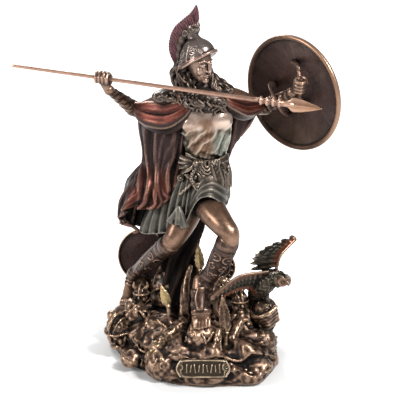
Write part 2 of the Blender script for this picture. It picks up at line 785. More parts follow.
def on_helmet(p):
    """A place in the helmet's own frame: forward, to the goddess's left, and up"""
    forward, left, up = p
    return HELMET_AT + np.array(
        [
            forward * math.sin(HELMET_YAW) + left * math.cos(HELMET_YAW),
            -forward * math.cos(HELMET_YAW) + left * math.sin(HELMET_YAW), up
        ]
    )


def on_dome(angle, up, out=1.0):
    """A place on the helmet's dome, angle in degrees round from its front to the goddess's left"""
    levels = [[-4.4, 1.0], [-2.6, 1.04], [0, 1.02], [3, 0.93], [5.4, 0.79], [7.4, 0.58], [8.9, 0.3]]
    heights = [row[0] for row in levels]
    share = np.interp(up, heights, [row[1] for row in levels]) * out
    forward = math.cos(math.radians(angle)) * 9.1 * share
    lean = HELMET_RISE * forward * max(0.0, 1 - up / 8.9)
    return on_helmet([forward, math.sin(math.radians(angle)) * 7.7 * share, up + lean])


def scroll(bm, centre, place, radius, turns=1.6, thick=0.42, spin=1.0, start=0.0):
    """A raised spiral on a surface; place(u, v) gives the surface's points"""
    rows = []
    for k in range(22):
        t = k / 21
        a = math.radians(start) + spin * 2 * math.pi * turns * t
        r = radius * (1 - 0.86 * t)
        p = place(centre[0] + r * math.cos(a), centre[1] + r * math.sin(a))
        rows.append([*p, thick * (1 - 0.45 * t)])
    limb(bm, rows, sides=10, steps=60, front=(0.37, -0.61, 0.7))


def build_helmet():
    bm = bmesh.new()
    ups = np.concatenate([np.linspace(-4.4, 6, 16), [6.8, 7.6, 8.3, 8.8]])
    rings = []
    for up in ups:
        out = 1.0 if up < 6.8 else math.cos((up - 6.8) / 2.0 * 0.7)
        rings.append([on_dome(a, up, out) for a in np.arange(64) / 64 * 360])
    wrap(bm, rings)

    def loop(up, out, thick):
        rows = [[*on_dome(a, up, out), thick] for a in np.arange(28) / 28 * 360]
        limb(bm, rows, sides=12, steps=120, loop=True, front=UP)

    loop(-3.5, 1.08, 0.8)
    loop(-2.1, 1.05, 0.4)
    for turn, lean in ((-96, 0), (-92, 0), (-48, -2.6)):
        rows = [[*on_dome(turn + lean * up, up, 1.03), 0.4] for up in np.linspace(-3, 5.4, 9)]
        limb(bm, rows, sides=10, steps=40)

    def temple(u, v):
        return on_dome(-70 + u * 7.2, v, 1.03)

    def nape(u, v):
        return on_dome(-120 + u * 7.2, v, 1.03)

    scroll(bm, (0, 2.4), temple, 2, start=200)
    scroll(bm, (-0.6, -0.7), temple, 1.3, spin=-1, start=90, thick=0.36)
    scroll(bm, (1.6, -0.2), temple, 1, start=0, thick=0.34)
    scroll(bm, (0, 2.6), nape, 1.8, spin=-1)
    scroll(bm, (-0.4, -0.8), nape, 1.6, start=180)
    peak = [[*on_dome(a, -3.2, 1.1), 0.85] for a in (-40, -20, 0, 20, 40)]
    limb(bm, peak, sides=14, steps=40, front=UP)
    stem = [[-0.6, 0, 7, 3.2, 2.6], [-2.6, 0, 9.6, 2.8, 2.2], [-1.6, 0, 13.4, 3.2, 1.8]]
    limb(bm, stem, place=on_helmet, sides=24, steps=30)

    def brim(p, n):
        off = p - HELMET_AT
        rise = HELMET_RISE * (off @ [math.sin(HELMET_YAW), -math.cos(HELMET_YAW), 0])
        up = (off[:, 2] - rise) / (1 - rise / 8.9)
        return 0.45 * ramp(up, -1.2, -1.9)

    cast(
        "helmet", bm,
        bronze(
            "helmet_bronze", 0x746862, 0xB5A297, wash=0x86594A, gleam=0.5, rough=0.3, fleck=0.15,
            bump=0.1
        ), voxel=0.28, wash=brim
    )


CREST_ROOT = [[0.6, 18.4], [-0.6, 14.8], [-4.6, 12], [-9, 8.6], [-11.6, 3], [-12, -3], [-11.2, -8]]
CREST_RIM = [
    [-0.3, 25.4], [-3.8, 21], [-8.8, 17], [-13.6, 12.8], [-16.6, 7], [-17.2, 0.4], [-13.6, -7]
]


def build_crest():
    bm = bmesh.new()
    locks = sizes().locks
    side = on_helmet([0, 1, 0]) - on_helmet([0, 0, 0])
    steps = locks * 8
    t = np.linspace(0, 1, steps + 1)
    root = np.array([on_helmet([f, 0, u]) for f, u in spline(CREST_ROOT, t)])
    rings = []
    share = np.linspace(0, 1, 15)
    thick = 1.75 * np.sqrt(np.clip(1 - (share - 0.25) ** 2 / 0.6, 0, 1))
    for k, at in enumerate(t):
        wave = at + 0.02 * np.sin(3.0 * share)
        comb = 0.6 + 0.4 * ridged(wave * locks, 0.6)
        slow = 0.85 + 0.15 * np.sin(at * locks * 1.7)
        tip = 1 - 0.05 * (1 - ridged(np.array([at * locks]), 0.5)[0]) * (0.5 + 0.5 * slow)
        rim = on_helmet([*spline(CREST_RIM, at)[0][:1], 0, spline(CREST_RIM, at)[0][1]])
        curve = root[k] + (rim - root[k]) * (share * tip)[:, None]
        half = (thick * comb * slow)[:, None] * side
        rings.append(np.concatenate([curve + half, (curve - half)[::-1]]))
    wrap(bm, rings)
    cast(
        "crest", bm,
        bronze(
            "crest_bronze", "crest", 0x644247, dark=0x14070A, gleam=0.4, fleck=0.3, rough=0.5,
            metal=0.35
        ), voxel=None
    )

    bm = bmesh.new()
    base = [
        [0.2, 16, 1.2], [-3.4, 12.4, 2.2], [-7.4, 8.6, 2.5], [-10.2, 2.6, 2], [-11, -4, 1.5],
        [-10.4, -8.4, 1]
    ]
    rows = [[f, 0, u, r] for f, u, r in base]
    limb(
        bm, rows, place=on_helmet, sides=24, steps=90,
        shape=lambda a, t: 1 + 0.07 * np.cos(50 * t + a)
    )
    ball(bm, on_helmet([0.2, 0, 15]), [1.6, 1.6, 1.5])
    for side in (-1, 1):

        def flank(u, v, side=side):
            return on_helmet([-5.4 + u, side * 2.4, 10.4 + v])

        scroll(bm, (0, 0), flank, 1.9, thick=0.55)
        scroll(bm, (3.6, 2.6), flank, 1.5, spin=-1, thick=0.5)
    cast(
        "crest_holder", bm, bronze("holder_bronze", 0x413730, 0x84746A, gleam=0.7), voxel=0.3,
        soften=1
    )


def build_collar():
    bm = bmesh.new()
    cape = [
        [5.8, -1.2, 148.6, 6, 5.8], [6.6, -1.6, 145.4, 11, 8.3], [7.4, -2.2, 141.8, 13, 8.9],
        [7.6, -2, 140, 12, 8]
    ]
    limb(bm, cape, sides=48, steps=30)
    for row, (t, count) in enumerate(((0.06, 18), (0.22, 25), (0.38, 31), (0.52, 34))):
        x, y, z, wide, deep = spline(cape, t)[0]
        for k in range(count):
            a = 2 * math.pi * (k + 0.5 * (row % 2)) / count
            at = [x + wide * 1.02 * math.cos(a), y + deep * 1.02 * math.sin(a), z]
            yaw = math.degrees(a) + 90
            ball(bm, at, [1.0, 0.7, 1.2], yaw=yaw, tilt=-25, detail=2)
    snakes = np.random.RandomState(5)
    for k in range(44):
        a = 2 * math.pi * k / 44
        sway, reach = snakes.uniform(0.6, 1.6), snakes.uniform(1, 6)
        phase = snakes.uniform(0, 6)
        rows = []
        for j in range(9):
            t = j / 8
            turn = a + (0.07 * sway * math.sin(phase + 9 * t)) + 0.1 * math.sin(phase)
            x, y, z, wide, deep = spline(cape, min(1, 0.45 + 0.55 * t))[0]
            out = 1.07 + 0.03 * math.cos(phase + 9 * t)
            drop = reach * t * t * 0.6
            thick = 0.72 - 0.3 * t
            rows.append(
                [x + wide * out * math.cos(turn), y + deep * out * math.sin(turn), z - drop, thick]
            )
        limb(bm, rows, sides=10, steps=36)
    guard = lambda u, v: np.array([-12.6, -1.5, 143.4]) + np.array(
        [
            7.5 * math.cos(v / 6) * math.sin(u / 7), -6.2 * math.cos(v / 6) * math.cos(u / 7),
            4.4 * math.sin(v / 6)
        ]
    )
    ball(bm, [-12.6, -1.5, 143.4], [7.2, 5.8, 4.1], yaw=20, detail=4)
    for k, (u, v, r) in enumerate(
        ((-5, 2.5, 2.2), (0, 3.6, 2.1), (5, 2.4, 2.2), (-2.4, 0, 1.7), (2.6, -0.2, 1.7))
    ):
        scroll(bm, (u, v), guard, r, spin=1 if k % 2 else -1, start=60 * k, thick=0.48)
    for k in range(-1, 2):
        ball(bm, [-12.6 + 4.6 * k, -6.4 + k * k, 143.6 - k * 0.6], [1.7, 1.5, 1.7])
    ball(bm, [18.4, 1, 146.6], [4.2, 4.8, 3.2])
    left = lambda u, v: np.array([18.4, 1, 146.6]) + np.array(
        [
            4.4 * math.cos(v / 4) * math.sin(u / 4), -5 * math.cos(v / 4) * math.cos(u / 4),
            3.5 * math.sin(v / 4)
        ]
    )
    scroll(bm, (-1.5, 1.2), left, 1.6, thick=0.5)
    scroll(bm, (2, 0.6), left, 1.5, thick=0.5, spin=-1)
    cast(
        "collar", bm, bronze("collar_bronze", 0x40352F, 0x87766A, gleam=0.65), voxel=0.32, soften=1
    )


# Dress and cloak

TRUNK = [
    [7, 1, 96, 11.6, 8.4], [8.6, 0, 105, 10.6, 7.6], [8.7, 0, 111, 10, 7.2],
    [8.5, -0.5, 119, 11.6, 8.2], [8.2, -1, 127, 13.2, 9], [7.6, -0.5, 134, 14.4, 9],
    [6.8, 0.8, 140, 14.6, 7.4], [5.8, 1.8, 144.5, 10.5, 5.6]
]


def build_tunic():
    bm = bmesh.new()
    limb(bm, TRUNK, sides=80, steps=90, front=(0.2, -0.98, 0))
    ball(bm, [2.4, -4.6, 130.4], [7.4, 5.4, 6.8], yaw=12, detail=4)
    ball(bm, [14.4, -4.4, 132], [7.4, 5.4, 6.8], yaw=12, detail=4)

    def creases(p, n):
        warp = 0.9 * lumps(p, 9, 1) + 0.25 * lumps(p, 3.5, 2)
        along = p @ [0.86, 0.1, -0.36]
        pull = ridged(along / 5.6 + warp, 0.9) - 0.5
        fine = ridged(along / 2.3 - 0.8 * warp, 0.8) - 0.5
        slant = ridged((p @ [0.4, 0.1, 0.91]) / 4 + 0.5 * warp, 0.8) - 0.5
        low = ramp(p[:, 2], 118, 112)
        strength = 0.95 - 0.55 * ramp(p[:, 2], 125, 130)
        soft = 1 - 0.8 * ramp(p[:, 2], 126, 131)
        return strength * pull * (1 - low) * soft + 0.16 * fine * soft + 0.6 * slant * low

    def golden(p, n):
        belly = spot(p, [5, -8, 122], [7, 9, 8])
        cleft = spot(p, [8.4, -9, 129], [5, 6, 6])
        under = spot(p, [1.4, -9, 127], [5, 6, 3])
        shaded = spot(p, [-0.6, -8, 132], [4.6, 9, 5])
        made = 1.1 * belly + 1.1 * cleft + 0.9 * under + 0.7 * shaded
        return np.clip(made * (0.8 + 0.8 * lumps(p, 4, 5)), 0, 0.9)

    def teal(p, n):
        low = ramp(p[:, 2], 131, 122)
        sides = ramp(p[:, 0], 10, 15) + 0.9 * ramp(p[:, 0], 0, -4)
        return np.clip(low * sides * (0.7 + 0.5 * lumps(p, 5, 9)), 0, 0.7)

    cast(
        "tunic", bm,
        bronze(
            "tunic_bronze", "tunic", "silver", wash="belly", glow=0x4E5C56,
            tints=[("Z", 126, 114, 0x5E5144, 0.6), ("Z", 125, 133, 0xD8BEB0, 0.85)], gleam=0.65,
            rough=0.24, bump=0.1, fleck=0.1, reach=8
        ), voxel=sizes().carving / MM, relief=creases, wash=golden, glow=teal
    )


def build_belt():
    bm = bmesh.new()
    tilt = (0.2, -0.6, 0.76)

    def cord(rows, thick):
        rope = lambda angle, t: 1 + 0.14 * np.cos(2 * angle + 46 * t)
        bead(bm, rows, thick, sides=16, steps=90, front=tilt, shape=rope)

    for k in range(3):
        rows = [
            [-2, -4, 112.4], [3, -8, 110.2], [9, -9.2, 109.4], [15, -7.4, 110], [19.4, -2.6, 111.4]
        ]
        cord([[x, y - 0.5 * k, z + 2.3 - 1.2 * k] for x, y, z in rows], 0.6)
    for k in range(5):
        r = 6.4 - 1.3 * k
        drop = 1.45 * r
        arc = [[-r, 0, 0.5], [-0.8 * r, -1.6, -0.55 * drop], [0, -3, -drop]]
        arc += [[0.8 * r, -1.6, -0.55 * drop], [r, 0, 0.5]]
        cord([[8.6 + x, -9.8 + y - 0.2 * k, 111.6 + z] for x, y, z in arc], 0.55)
    bow = [[-4.6, -4.8, 113], [-5.4, -5, 110.6], [-5, -6.2, 108], [-3.6, -8, 105.8]]
    for x, y, z in bow:
        middle = [(x + 2.2) / 2, y - 3.6, (z + 110.6) / 2, 1.1, 1]
        fan = [[2.6, -9.6, 110.8, 0.8, 0.8], middle, [x, y - 1, z, 1.35, 0.8]]
        limb(bm, fan, sides=20, steps=24, front=tilt, shape=lambda a, t: 1 + 0.12 * np.cos(4 * a))
    ball(bm, [2.8, -10.4, 110.6], [1.9, 1.6, 2])
    cord([[-3.6, -8, 105.6], [1, -12.4, 102.4], [4, -14.4, 99.6]], 1)
    cord([[3, -10.6, 109], [0.6, -12.4, 104], [2.4, -14, 100]], 1.1)
    cord([[4, -10.2, 106], [0.6, -12.8, 101], [-5, -11.4, 95]], 0.8)
    cord([[15, -9, 109], [19, -7, 104.6], [19.6, -3, 108.6]], 0.8)
    for at, r in (([4, -14.6, 99.8], 2.1), ([-5, -8.4, 102.6], 1.7)):
        lathe(
            bm, [[0, -0.8], [r, -0.8], [r, 0.2], [r * 0.8, 0.6], [r * 0.6, 0.2], [0, 1]], at,
            (0.1, -0.95, 0.3), 28
        )
        ball(bm, at, [r * 0.4, r * 0.55, r * 0.4])
    for k in range(6):
        turn = -1.2 + k * 0.3
        x, y = 8.4 + 12.1 * math.cos(turn), 12.6 * math.sin(turn)
        rows = [
            [x - 2, y, 110, 1.3, 1], [x, y * 1.06, 103, 1.4, 1],
            [x + 0.4, y * 1.12, 97 + (k % 2), 1.3, 0.8]
        ]
        strip = lambda angle, t: 1 + 0.03 * np.cos(40 * t) + 0.14 * np.cos(4 * angle)
        limb(bm, rows, sides=20, steps=40, front=(math.cos(turn), math.sin(turn), 0), shape=strip)
        ball(bm, [x + 0.5, y * 1.13, 96.2 + (k % 2)], [1, 1, 1.3], detail=2)
    cast("belt", bm, bronze("belt_bronze", 0x3D342D, 0xA08F7D, gleam=0.68), voxel=0.32, soften=1)


SKIRT_HEM = [
    [19.6, 2, 89.5], [18.8, -7, 88.8], [17.6, -12.6, 89.6], [14.6, -16.2, 92.6], [10, -17.8, 95.6],
    [5.4, -17.6, 95], [2.2, -16.6, 91], [-0.4, -14.6, 84.6], [-2.4, -12.4, 79], [-7, -9, 74.6],
    [-16, -5, 71.4], [-25.4, 4, 68.6], [-24, 15, 70], [-10, 20, 71], [6, 18, 76], [19, 10, 85]
]


def build_skirt():
    bm = bmesh.new()
    pleats = sizes().pleats
    columns = pleats * 12
    t = np.arange(columns) / columns
    low = spline(SKIRT_HEM, t, closed=True)
    angle = np.arctan2(low[:, 1] - 1, low[:, 0] - 4)
    out = np.stack([np.cos(angle), np.sin(angle), np.zeros(columns)], 1)
    high = np.array([8.5, 0, 111]) + out * [10.2, 7.4, 0]
    hips = 2.2 - 1.4 * out[:, :1]
    thigh = ramp(t, 0.02, 0.12) * ramp(t, 0.5, 0.36)

    def ring(drop, inset):
        depth = 0.25 + 2.4 * max(0.0, drop - 0.25) ** 0.8 * (1 - 0.8 * thigh)
        sweep = 0.35 * drop + thigh * (0.9 * np.sin(2.4 * drop) + 5 * drop)
        loose = 1 - thigh * ramp(drop, 0.3, 0.55)
        comb = ((ridged(t * pleats + sweep, 0.8) - 0.5) * depth * loose)[:, None]
        fine = (ridged(t * pleats * 2.5 - 0.3 * drop, 0.8) - 0.5) * (0.4 * drop * (1 - thigh))
        fine = fine[:, None]
        bulge = hips * math.sin(math.pi * drop) ** 0.8
        swag = (
            (ridged(5.2 * drop + 0.6 * lumps(low, 14, 3), 0.9) - 0.5) * thigh
            * ramp(drop, 0.35, 0.6)
        )
        swag = swag[:, None]
        return high + (low - high) * drop + out * (bulge + comb + fine + swag - inset)

    drops = np.linspace(0, 1, 50)
    thick = sizes().cloth / MM
    outer = [ring(d, 0) for d in drops]
    roll = [ring(1.0, thick * 0.5) - [0, 0, 0.3]]
    inner = [ring(d, thick) for d in drops[:14:-1]]
    wrap(bm, outer + roll + inner)
    rail = low + out * 0.5
    bead(bm, rail[:: columns // 60], 0.4, sides=8, steps=columns // 2, loop=True, front=UP)
    for end in ([-10.6, -12, 80], [-6, -13.4, 79.4], [-3, -13, 77.4]):
        flap = [
            [-6, -13, 88, 1.4, 1.2], [(end[0] - 6) / 2, end[1] - 1, 84, 1.6, 1.1], [*end, 2.3, 0.8]
        ]
        limb(bm, flap, sides=20, steps=30, shape=lambda a, t: 1 + 0.12 * np.cos(5 * a))
    cast(
        "skirt", bm,
        bronze(
            "skirt_bronze", 0x4C4A43, 0x8E877B, tints=[("Z", 95, 103, 0x3C312A, 0.85)], gleam=0.5,
            rough=0.46, reach=7
        ), voxel=sizes().carving / MM, soften=1
    )


CLOAK_NET = [
    [
        [-3, -1.6, 133], [-12, -2, 131], [-20, 2, 132], [-25.6, 8, 134], [-24.6, 13, 137],
        [-17, 12, 140.6], [-4, 9, 146], [10, 9, 147.4], [22, 10, 144], [35.6, 15, 132]
    ],
    [
        [-4, -3, 124], [-12, -3.6, 123], [-20, 1, 126], [-25, 8, 125], [-25, 14, 125],
        [-18, 18, 127], [-6, 15, 129], [9, 13, 130], [20, 14, 128.6], [31, 15, 124]
    ],
    [
        [-5.6, -2, 110], [-11, -4, 109], [-18.4, -1, 108], [-22.4, 5, 107], [-23, 13, 107],
        [-18, 18, 109], [-8, 16, 111], [5, 13, 113], [14, 13, 112.6], [22, 13.4, 111]
    ],
    [
        [-7, -4, 100], [-12.6, -6, 98], [-20, -4.6, 97.4], [-24.6, 0, 96.6], [-29.6, 10, 97],
        [-27, 20, 98], [-14, 21, 97], [1, 17, 98], [11, 15, 99], [20, 12, 100]
    ],
    [
        [-9, -4.6, 95], [-15.4, -7, 91], [-23, -6.4, 90.4], [-28, -1, 90], [-35, 10, 88],
        [-34, 21, 84], [-20, 25, 82], [-4, 20, 86], [8, 17, 90], [19, 12, 93]
    ],
    [
        [-9.6, -5, 92.6], [-16.4, -7.4, 87], [-24, -7, 86], [-30, -1, 85], [-37.4, 12, 75],
        [-36, 22, 67], [-24, 26, 65], [-8, 22, 68], [6, 18, 76], [17, 12.6, 84]
    ]
]


def build_cloak():
    bm = bmesh.new()
    folds = sizes().folds

    def fold(u, v):
        phase = u * folds + 0.12 * np.sin(31 * u) + 0.25 * v + 0.3 * np.sin(7 * u + 8 * v)
        main = 2 * ridged(phase, 0.75) - 1
        part = 0.72 + 0.28 * np.sin(2.2 * phase + 1)
        cleft = -3.2 * v * np.exp(-(((u - 0.36) / 0.025) ** 2))
        fine = (0.3 + 0.8 * v) * (ridged(2.3 * phase + 0.4 * np.sin(9 * v), 0.8) - 0.5)
        return (1 + 1.9 * v) * main * part * np.minimum(1, 5 * u + 0.3) + cleft + fine

    grid = draped(CLOAK_NET, 240, 90, fold)
    sheet(bm, grid, sizes().cloth / MM)
    edge = grid[-1][::4]
    bead(bm, edge, 0.85, sides=10, steps=240)
    front = grid[:, 0][::6]
    bead(bm, front, 0.8, sides=10, steps=90)
    curl = [
        [-37.8, 13, 73.4], [-36.6, 13, 70.4], [-32.4, 12, 70.2], [-28, 12, 66.8], [-30.4, 13, 65.4]
    ]
    bead(bm, curl, 0.9, sides=14, steps=60)

    def creases(p, n):
        return 0.5 * lumps(p * [1, 1, 0.4], 5, 3)

    def reds(p, n):
        low = ramp(p[:, 2], 110, 100) * ramp(p[:, 1], 7, 1)
        return np.clip(low * (0.75 + 0.3 * lumps(p, 4, 2)), 0, 0.9)

    def pale(p, n):
        inside = ramp(n[:, 1], -0.1, -0.6) * ramp(p[:, 1], 6, 12) * ramp(p[:, 2], 100, 92)
        return np.clip(inside, 0, 0.85)

    cast(
        "cloak", bm,
        bronze(
            "cloak_bronze", "cloak", 0x8C6A5E, wash="red", glow=0x120D0B, gleam=0.55, rough=0.4,
            reach=11, specular=0.3
        ), voxel=sizes().carving / MM, relief=creases, wash=reds, glow=pale
    )


RIGHT_DRAPE = [
    [-27.6, 8.6, 136, 2.2, 2.6], [-23.6, 4, 134, 4.6, 6.4], [-17.6, -0.4, 133, 5.8, 8.2],
    [-11, -3.2, 133.4, 5.8, 8.4], [-4.8, -5.2, 136.6, 4.6, 6.4], [0.2, -6.4, 140.6, 2.6, 3]
]
LEFT_DRAPE = [
    [16, -5, 145, 2.2, 2.4], [21, -2.6, 140.6, 4.4, 5.2], [27, 2.4, 137, 5.2, 6.4],
    [33, 8, 136.6, 4.6, 5.2], [38, 12.4, 136, 2.4, 2.6]
]


HEM_ANGLE = 210


def bag(angle, t):
    """The cross-section of a sagging sleeve: a hollow cup behind a beaded hem towards the viewer"""
    degrees = np.degrees(angle)
    middle = np.sin(np.pi * np.clip(t, 0, 1)) ** 0.5
    cup = -0.45 * np.exp(-(((degrees - HEM_ANGLE + 62) / 34) ** 2)) * middle
    hem = 0.1 * np.exp(-(((degrees - HEM_ANGLE) / 7) ** 2))
    folds = ramp(degrees, 96, 110) * ramp(degrees, HEM_ANGLE - 4, HEM_ANGLE - 16)
    inner = 0.035 * np.cos(np.radians(degrees) * 12 + 5 * t + 1.5 * np.sin(5 * t)) * folds
    under = 0.05 * np.cos(5 * angle + 5 * t) * ramp(degrees, HEM_ANGLE + 10, HEM_ANGLE + 30)
    return 1 + cup + hem + inner * middle + under


def degrees_about(p, rows):
    """The angle of each point round a limb's path, by the same measure as its cross-section"""
    path = spline(rows, np.linspace(0, 1, 60))[:, :3]
    tangent = unit(np.gradient(path, axis=0))
    near = gaps(p, path).argmin(1)
    across = unit(np.cross(UP, tangent))[near]
    fore = np.cross(tangent[near], across)
    off = p - path[near]
    return np.degrees(np.arctan2((off * fore).sum(1), (off * across).sum(1))) % 360


def build_drapes():
    bm = bmesh.new()
    limb(bm, RIGHT_DRAPE, sides=120, steps=90, front=UP, shape=bag)
    limb(bm, LEFT_DRAPE, sides=120, steps=90, front=UP, shape=bag)

    def inside(p, n):
        made = np.zeros(len(p))
        for rows, side in ((RIGHT_DRAPE, p[:, 0] < 8), (LEFT_DRAPE, p[:, 0] >= 8)):
            turn = degrees_about(p, rows)
            cup = ramp(turn, 70, 90) * ramp(turn, HEM_ANGLE - 3, HEM_ANGLE - 10)
            made = np.where(side, cup, made)
        return np.clip(made * (0.85 + 0.2 * lumps(p, 3, 4)), 0, 0.95)

    cast(
        "arm_drapes", bm,
        bronze("drape_bronze", "cloak", 0xA88C76, wash=0x55241A, rough=0.4, gleam=0.5, reach=9),
        voxel=0.36, soften=1, wash=inside
    )


def build_trailing():
    bm = bmesh.new()
    rows = [
        [-2, 13, 84, 12, 7], [-4.6, 11.6, 70, 11.4, 6], [-6.4, 10.4, 56, 10, 5.4],
        [-4.4, 9, 42, 10, 6.2], [-3, 8, 29, 12, 7.4]
    ]

    def pleats(angle, t):
        turn = angle / (2 * math.pi) + 0.1 * np.sin(3.4 * t + 1)
        broad = ridged(7 * turn + 0.4 * np.sin(5 * t), 0.8) - 0.5
        return 1 + 0.24 * broad + 0.07 * (ridged(17 * turn - t, 0.8) - 0.5)

    limb(bm, rows, sides=140, steps=70, shape=pleats)
    cast(
        "trailing_cloth", bm,
        bronze(
            "trail_bronze", 0x100A08, 0x4A372C, dark=0x040202, gleam=0.35, metal=0, rough=0.7,
            reach=14, specular=0.08
        ), voxel=0.5
    )


# Armour of the limbs


def stretch(rows, start, end, extra, count=9):
    """Rows of a limb between two shares of its length, thickened by extra"""
    made = spline(
        [row if len(row) == 5 else [*row, row[3]] for row in rows], np.linspace(start, end, count)
    )
    made[:, 3:5] += extra
    return made.tolist()


def build_armour():
    bm = bmesh.new()
    bound = lambda angle, t: 1 + 0.05 * np.cos(2 * angle + 30 * t) + 0.02 * np.cos(100 * t)
    for arm in (RIGHT_ARM, LEFT_ARM):
        limb(bm, stretch(arm, 0.5, 0.84, 0.2), sides=40, steps=80, front=UP, shape=bound)
        for at in (0.5, 0.84):
            limb(bm, stretch(arm, at - 0.01, at + 0.01, 0.5, 3), sides=28, steps=8, front=UP)
    greave = lambda angle, t: 1 + 0.02 * np.cos(2 * angle)
    for leg, front, spans in (
        (LEFT_LEG, VIEWER, (0.55, 0.83)), (RIGHT_LEG, (-0.5, -0.6, -0.6), (0.27, 0.64))
    ):
        limb(bm, stretch(leg, *spans, 0.3, 14), sides=40, steps=70, front=front, shape=greave)
        for at, wide, extra in (
            (spans[0], 0.01, 0.8), (spans[0] + 0.04, 0.008, 0.6), (spans[1] - 0.035, 0.008, 0.6),
            (spans[1], 0.01, 0.85)
        ):
            limb(bm, stretch(leg, at - wide, at + wide, extra, 3), sides=32, steps=8, front=front)
        path = spline(leg, np.linspace(spans[0], spans[1], 60))

        def shin(u, v, path=path, front=front):
            k = int(np.clip(v, 0, 58))
            here = path[k] + (path[k + 1] - path[k]) * (v - k)
            tangent = unit(path[k + 1, :3] - path[k, :3])
            across = unit(np.cross(front, tangent))
            fore = np.cross(tangent, across)
            a = math.pi / 2 + u / 4
            side, ahead = 1.08 * here[3] * math.cos(a), 1.08 * here[4] * math.sin(a)
            return here[:3] + across * side + fore * ahead

        rise = np.linalg.norm(path[-1, :3] - path[0, :3]) / 59
        plate = lambda u, v, shin=shin, rise=rise: shin(u, v / rise)
        length = 59 * rise
        for side in (-1, 1):
            line = [[*shin(side * (5.2 - 3.4 * (v / 50) ** 2), v), 0.36] for v in range(5, 53, 4)]
            limb(bm, line, sides=10, steps=60)
            for share, radius, start in ((0.26, 2.5, 90), (0.54, 1.9, 270), (0.75, 1.2, 90)):
                centre = (side * radius * 1.02, share * length)
                scroll(bm, centre, plate, radius, 1.15, 0.44, side, start)
    boot = [
        [9.4, -16.6, 51.6, 4.3, 4.3], [7.6, -17, 47.6, 4.7, 4.5], [5.8, -18.4, 44, 5.2, 4.4],
        [5.3, -21.6, 39.4, 4.8, 3.9], [5.6, -25, 35.4, 4.9, 3]
    ]
    limb(bm, boot, sides=36, steps=60, shape=lambda angle, t: 1 + 0.03 * np.cos(34 * t))
    for t in (0, 0.28, 0.55, 0.8, 1.0):
        limb(bm, stretch(boot, max(0, t - 0.02), min(1, t + 0.02), 0.5, 3), sides=28, steps=8)
    tongue = [[5.6, -22, 47.4, 2.2, 0.9], [4.8, -24.6, 42.6, 2.6, 0.9], [5, -27.4, 38, 1.8, 0.8]]
    limb(bm, tongue, sides=20, steps=30)
    strap = [[-30, 15.6, 42, 3.6, 3.6], [-31.8, 17, 38.6, 3.5, 3.8], [-33.2, 16.8, 34.6, 3.1, 3.4]]
    limb(bm, strap, sides=28, steps=30, shape=lambda angle, t: 1 + 0.06 * np.cos(26 * t))
    cast(
        "armour", bm, bronze("armour_bronze", 0x3A2B25, 0xA9866F, gleam=0.9, rough=0.32),
        voxel=0.32, soften=1
    )


# Spear, shield and owl

SPEAR_LENGTH = 163
SPEAR_BLADE = 17.5


def along_spear(distance):
    return RIGHT_HAND + SPEAR_LINE * (distance - 50)


def build_spear():
    bm = bmesh.new()
    socket = SPEAR_LENGTH - SPEAR_BLADE
    collar = socket - 0.8 * SPEAR_BLADE
    profile = [[0, 0], [0.45, 0.06], [0.75, 0.4], [0.85, 0.9]]
    profile += [[0.85 + 0.4 * s / SPEAR_LENGTH, s] for s in np.linspace(2, collar, 40)]
    for ring in range(4):
        at = collar + ring * 3.15
        profile += [
            [1.3, at + 0.1], [2.05, at + 0.4], [2.15, at + 0.8], [2.0, at + 1.3], [1.5, at + 1.6]
        ]
    profile += [[1.5, socket - 0.6], [1.4, socket + 1], [1.1, socket + 3], [0, socket + 5]]
    lathe(bm, profile, along_spear(0), SPEAR_LINE, 32)
    flat = unit(np.array(VIEWER) - np.dot(VIEWER, SPEAR_LINE) * SPEAR_LINE)
    edge = np.cross(flat, SPEAR_LINE)
    s = np.linspace(0, 1, 40)
    half = np.interp(s, [0, 0.06, 0.16, 0.4, 0.7, 0.9, 1], [1.1, 2.2, 3.8, 3.3, 1.9, 0.8, 0.05])
    half = np.convolve(np.pad(half, 2, "edge"), np.ones(5) / 5, "valid")
    across = np.array([-1, -0.85, -0.5, -0.12, 0, 0.12, 0.5, 0.85, 1])
    rise = np.array([0, 0.16, 0.42, 0.66, 1.1, 0.66, 0.42, 0.16, 0])
    rings = []
    for share, wide in zip(s, half):
        at = along_spear(socket + share * SPEAR_BLADE)
        height = rise * (1 - 0.7 * share)
        upper = at + np.outer(across * wide, edge) + np.outer(height, flat)
        lower = at + np.outer(across[::-1] * wide, edge) - np.outer(height[::-1], flat)
        rings.append(np.concatenate([upper, lower[1:-1]]))
    wrap(bm, rings)
    cast(
        "spear", bm,
        bronze(
            "spear_copper", "spear", 0xC6A48F, dark=0x3A2923, gleam=0.6, shade=0.7,
            tints=[("X", 38, 62, 0x8A6547, 0.75)]
        ), nodes=["spear"], voxel=None
    )


SHIELD_AT = np.array([52.8, 8, 143.2])
SHIELD_AXIS = unit([0.681, 0.726, 0.091])
SHIELD_RADIUS = 30.6


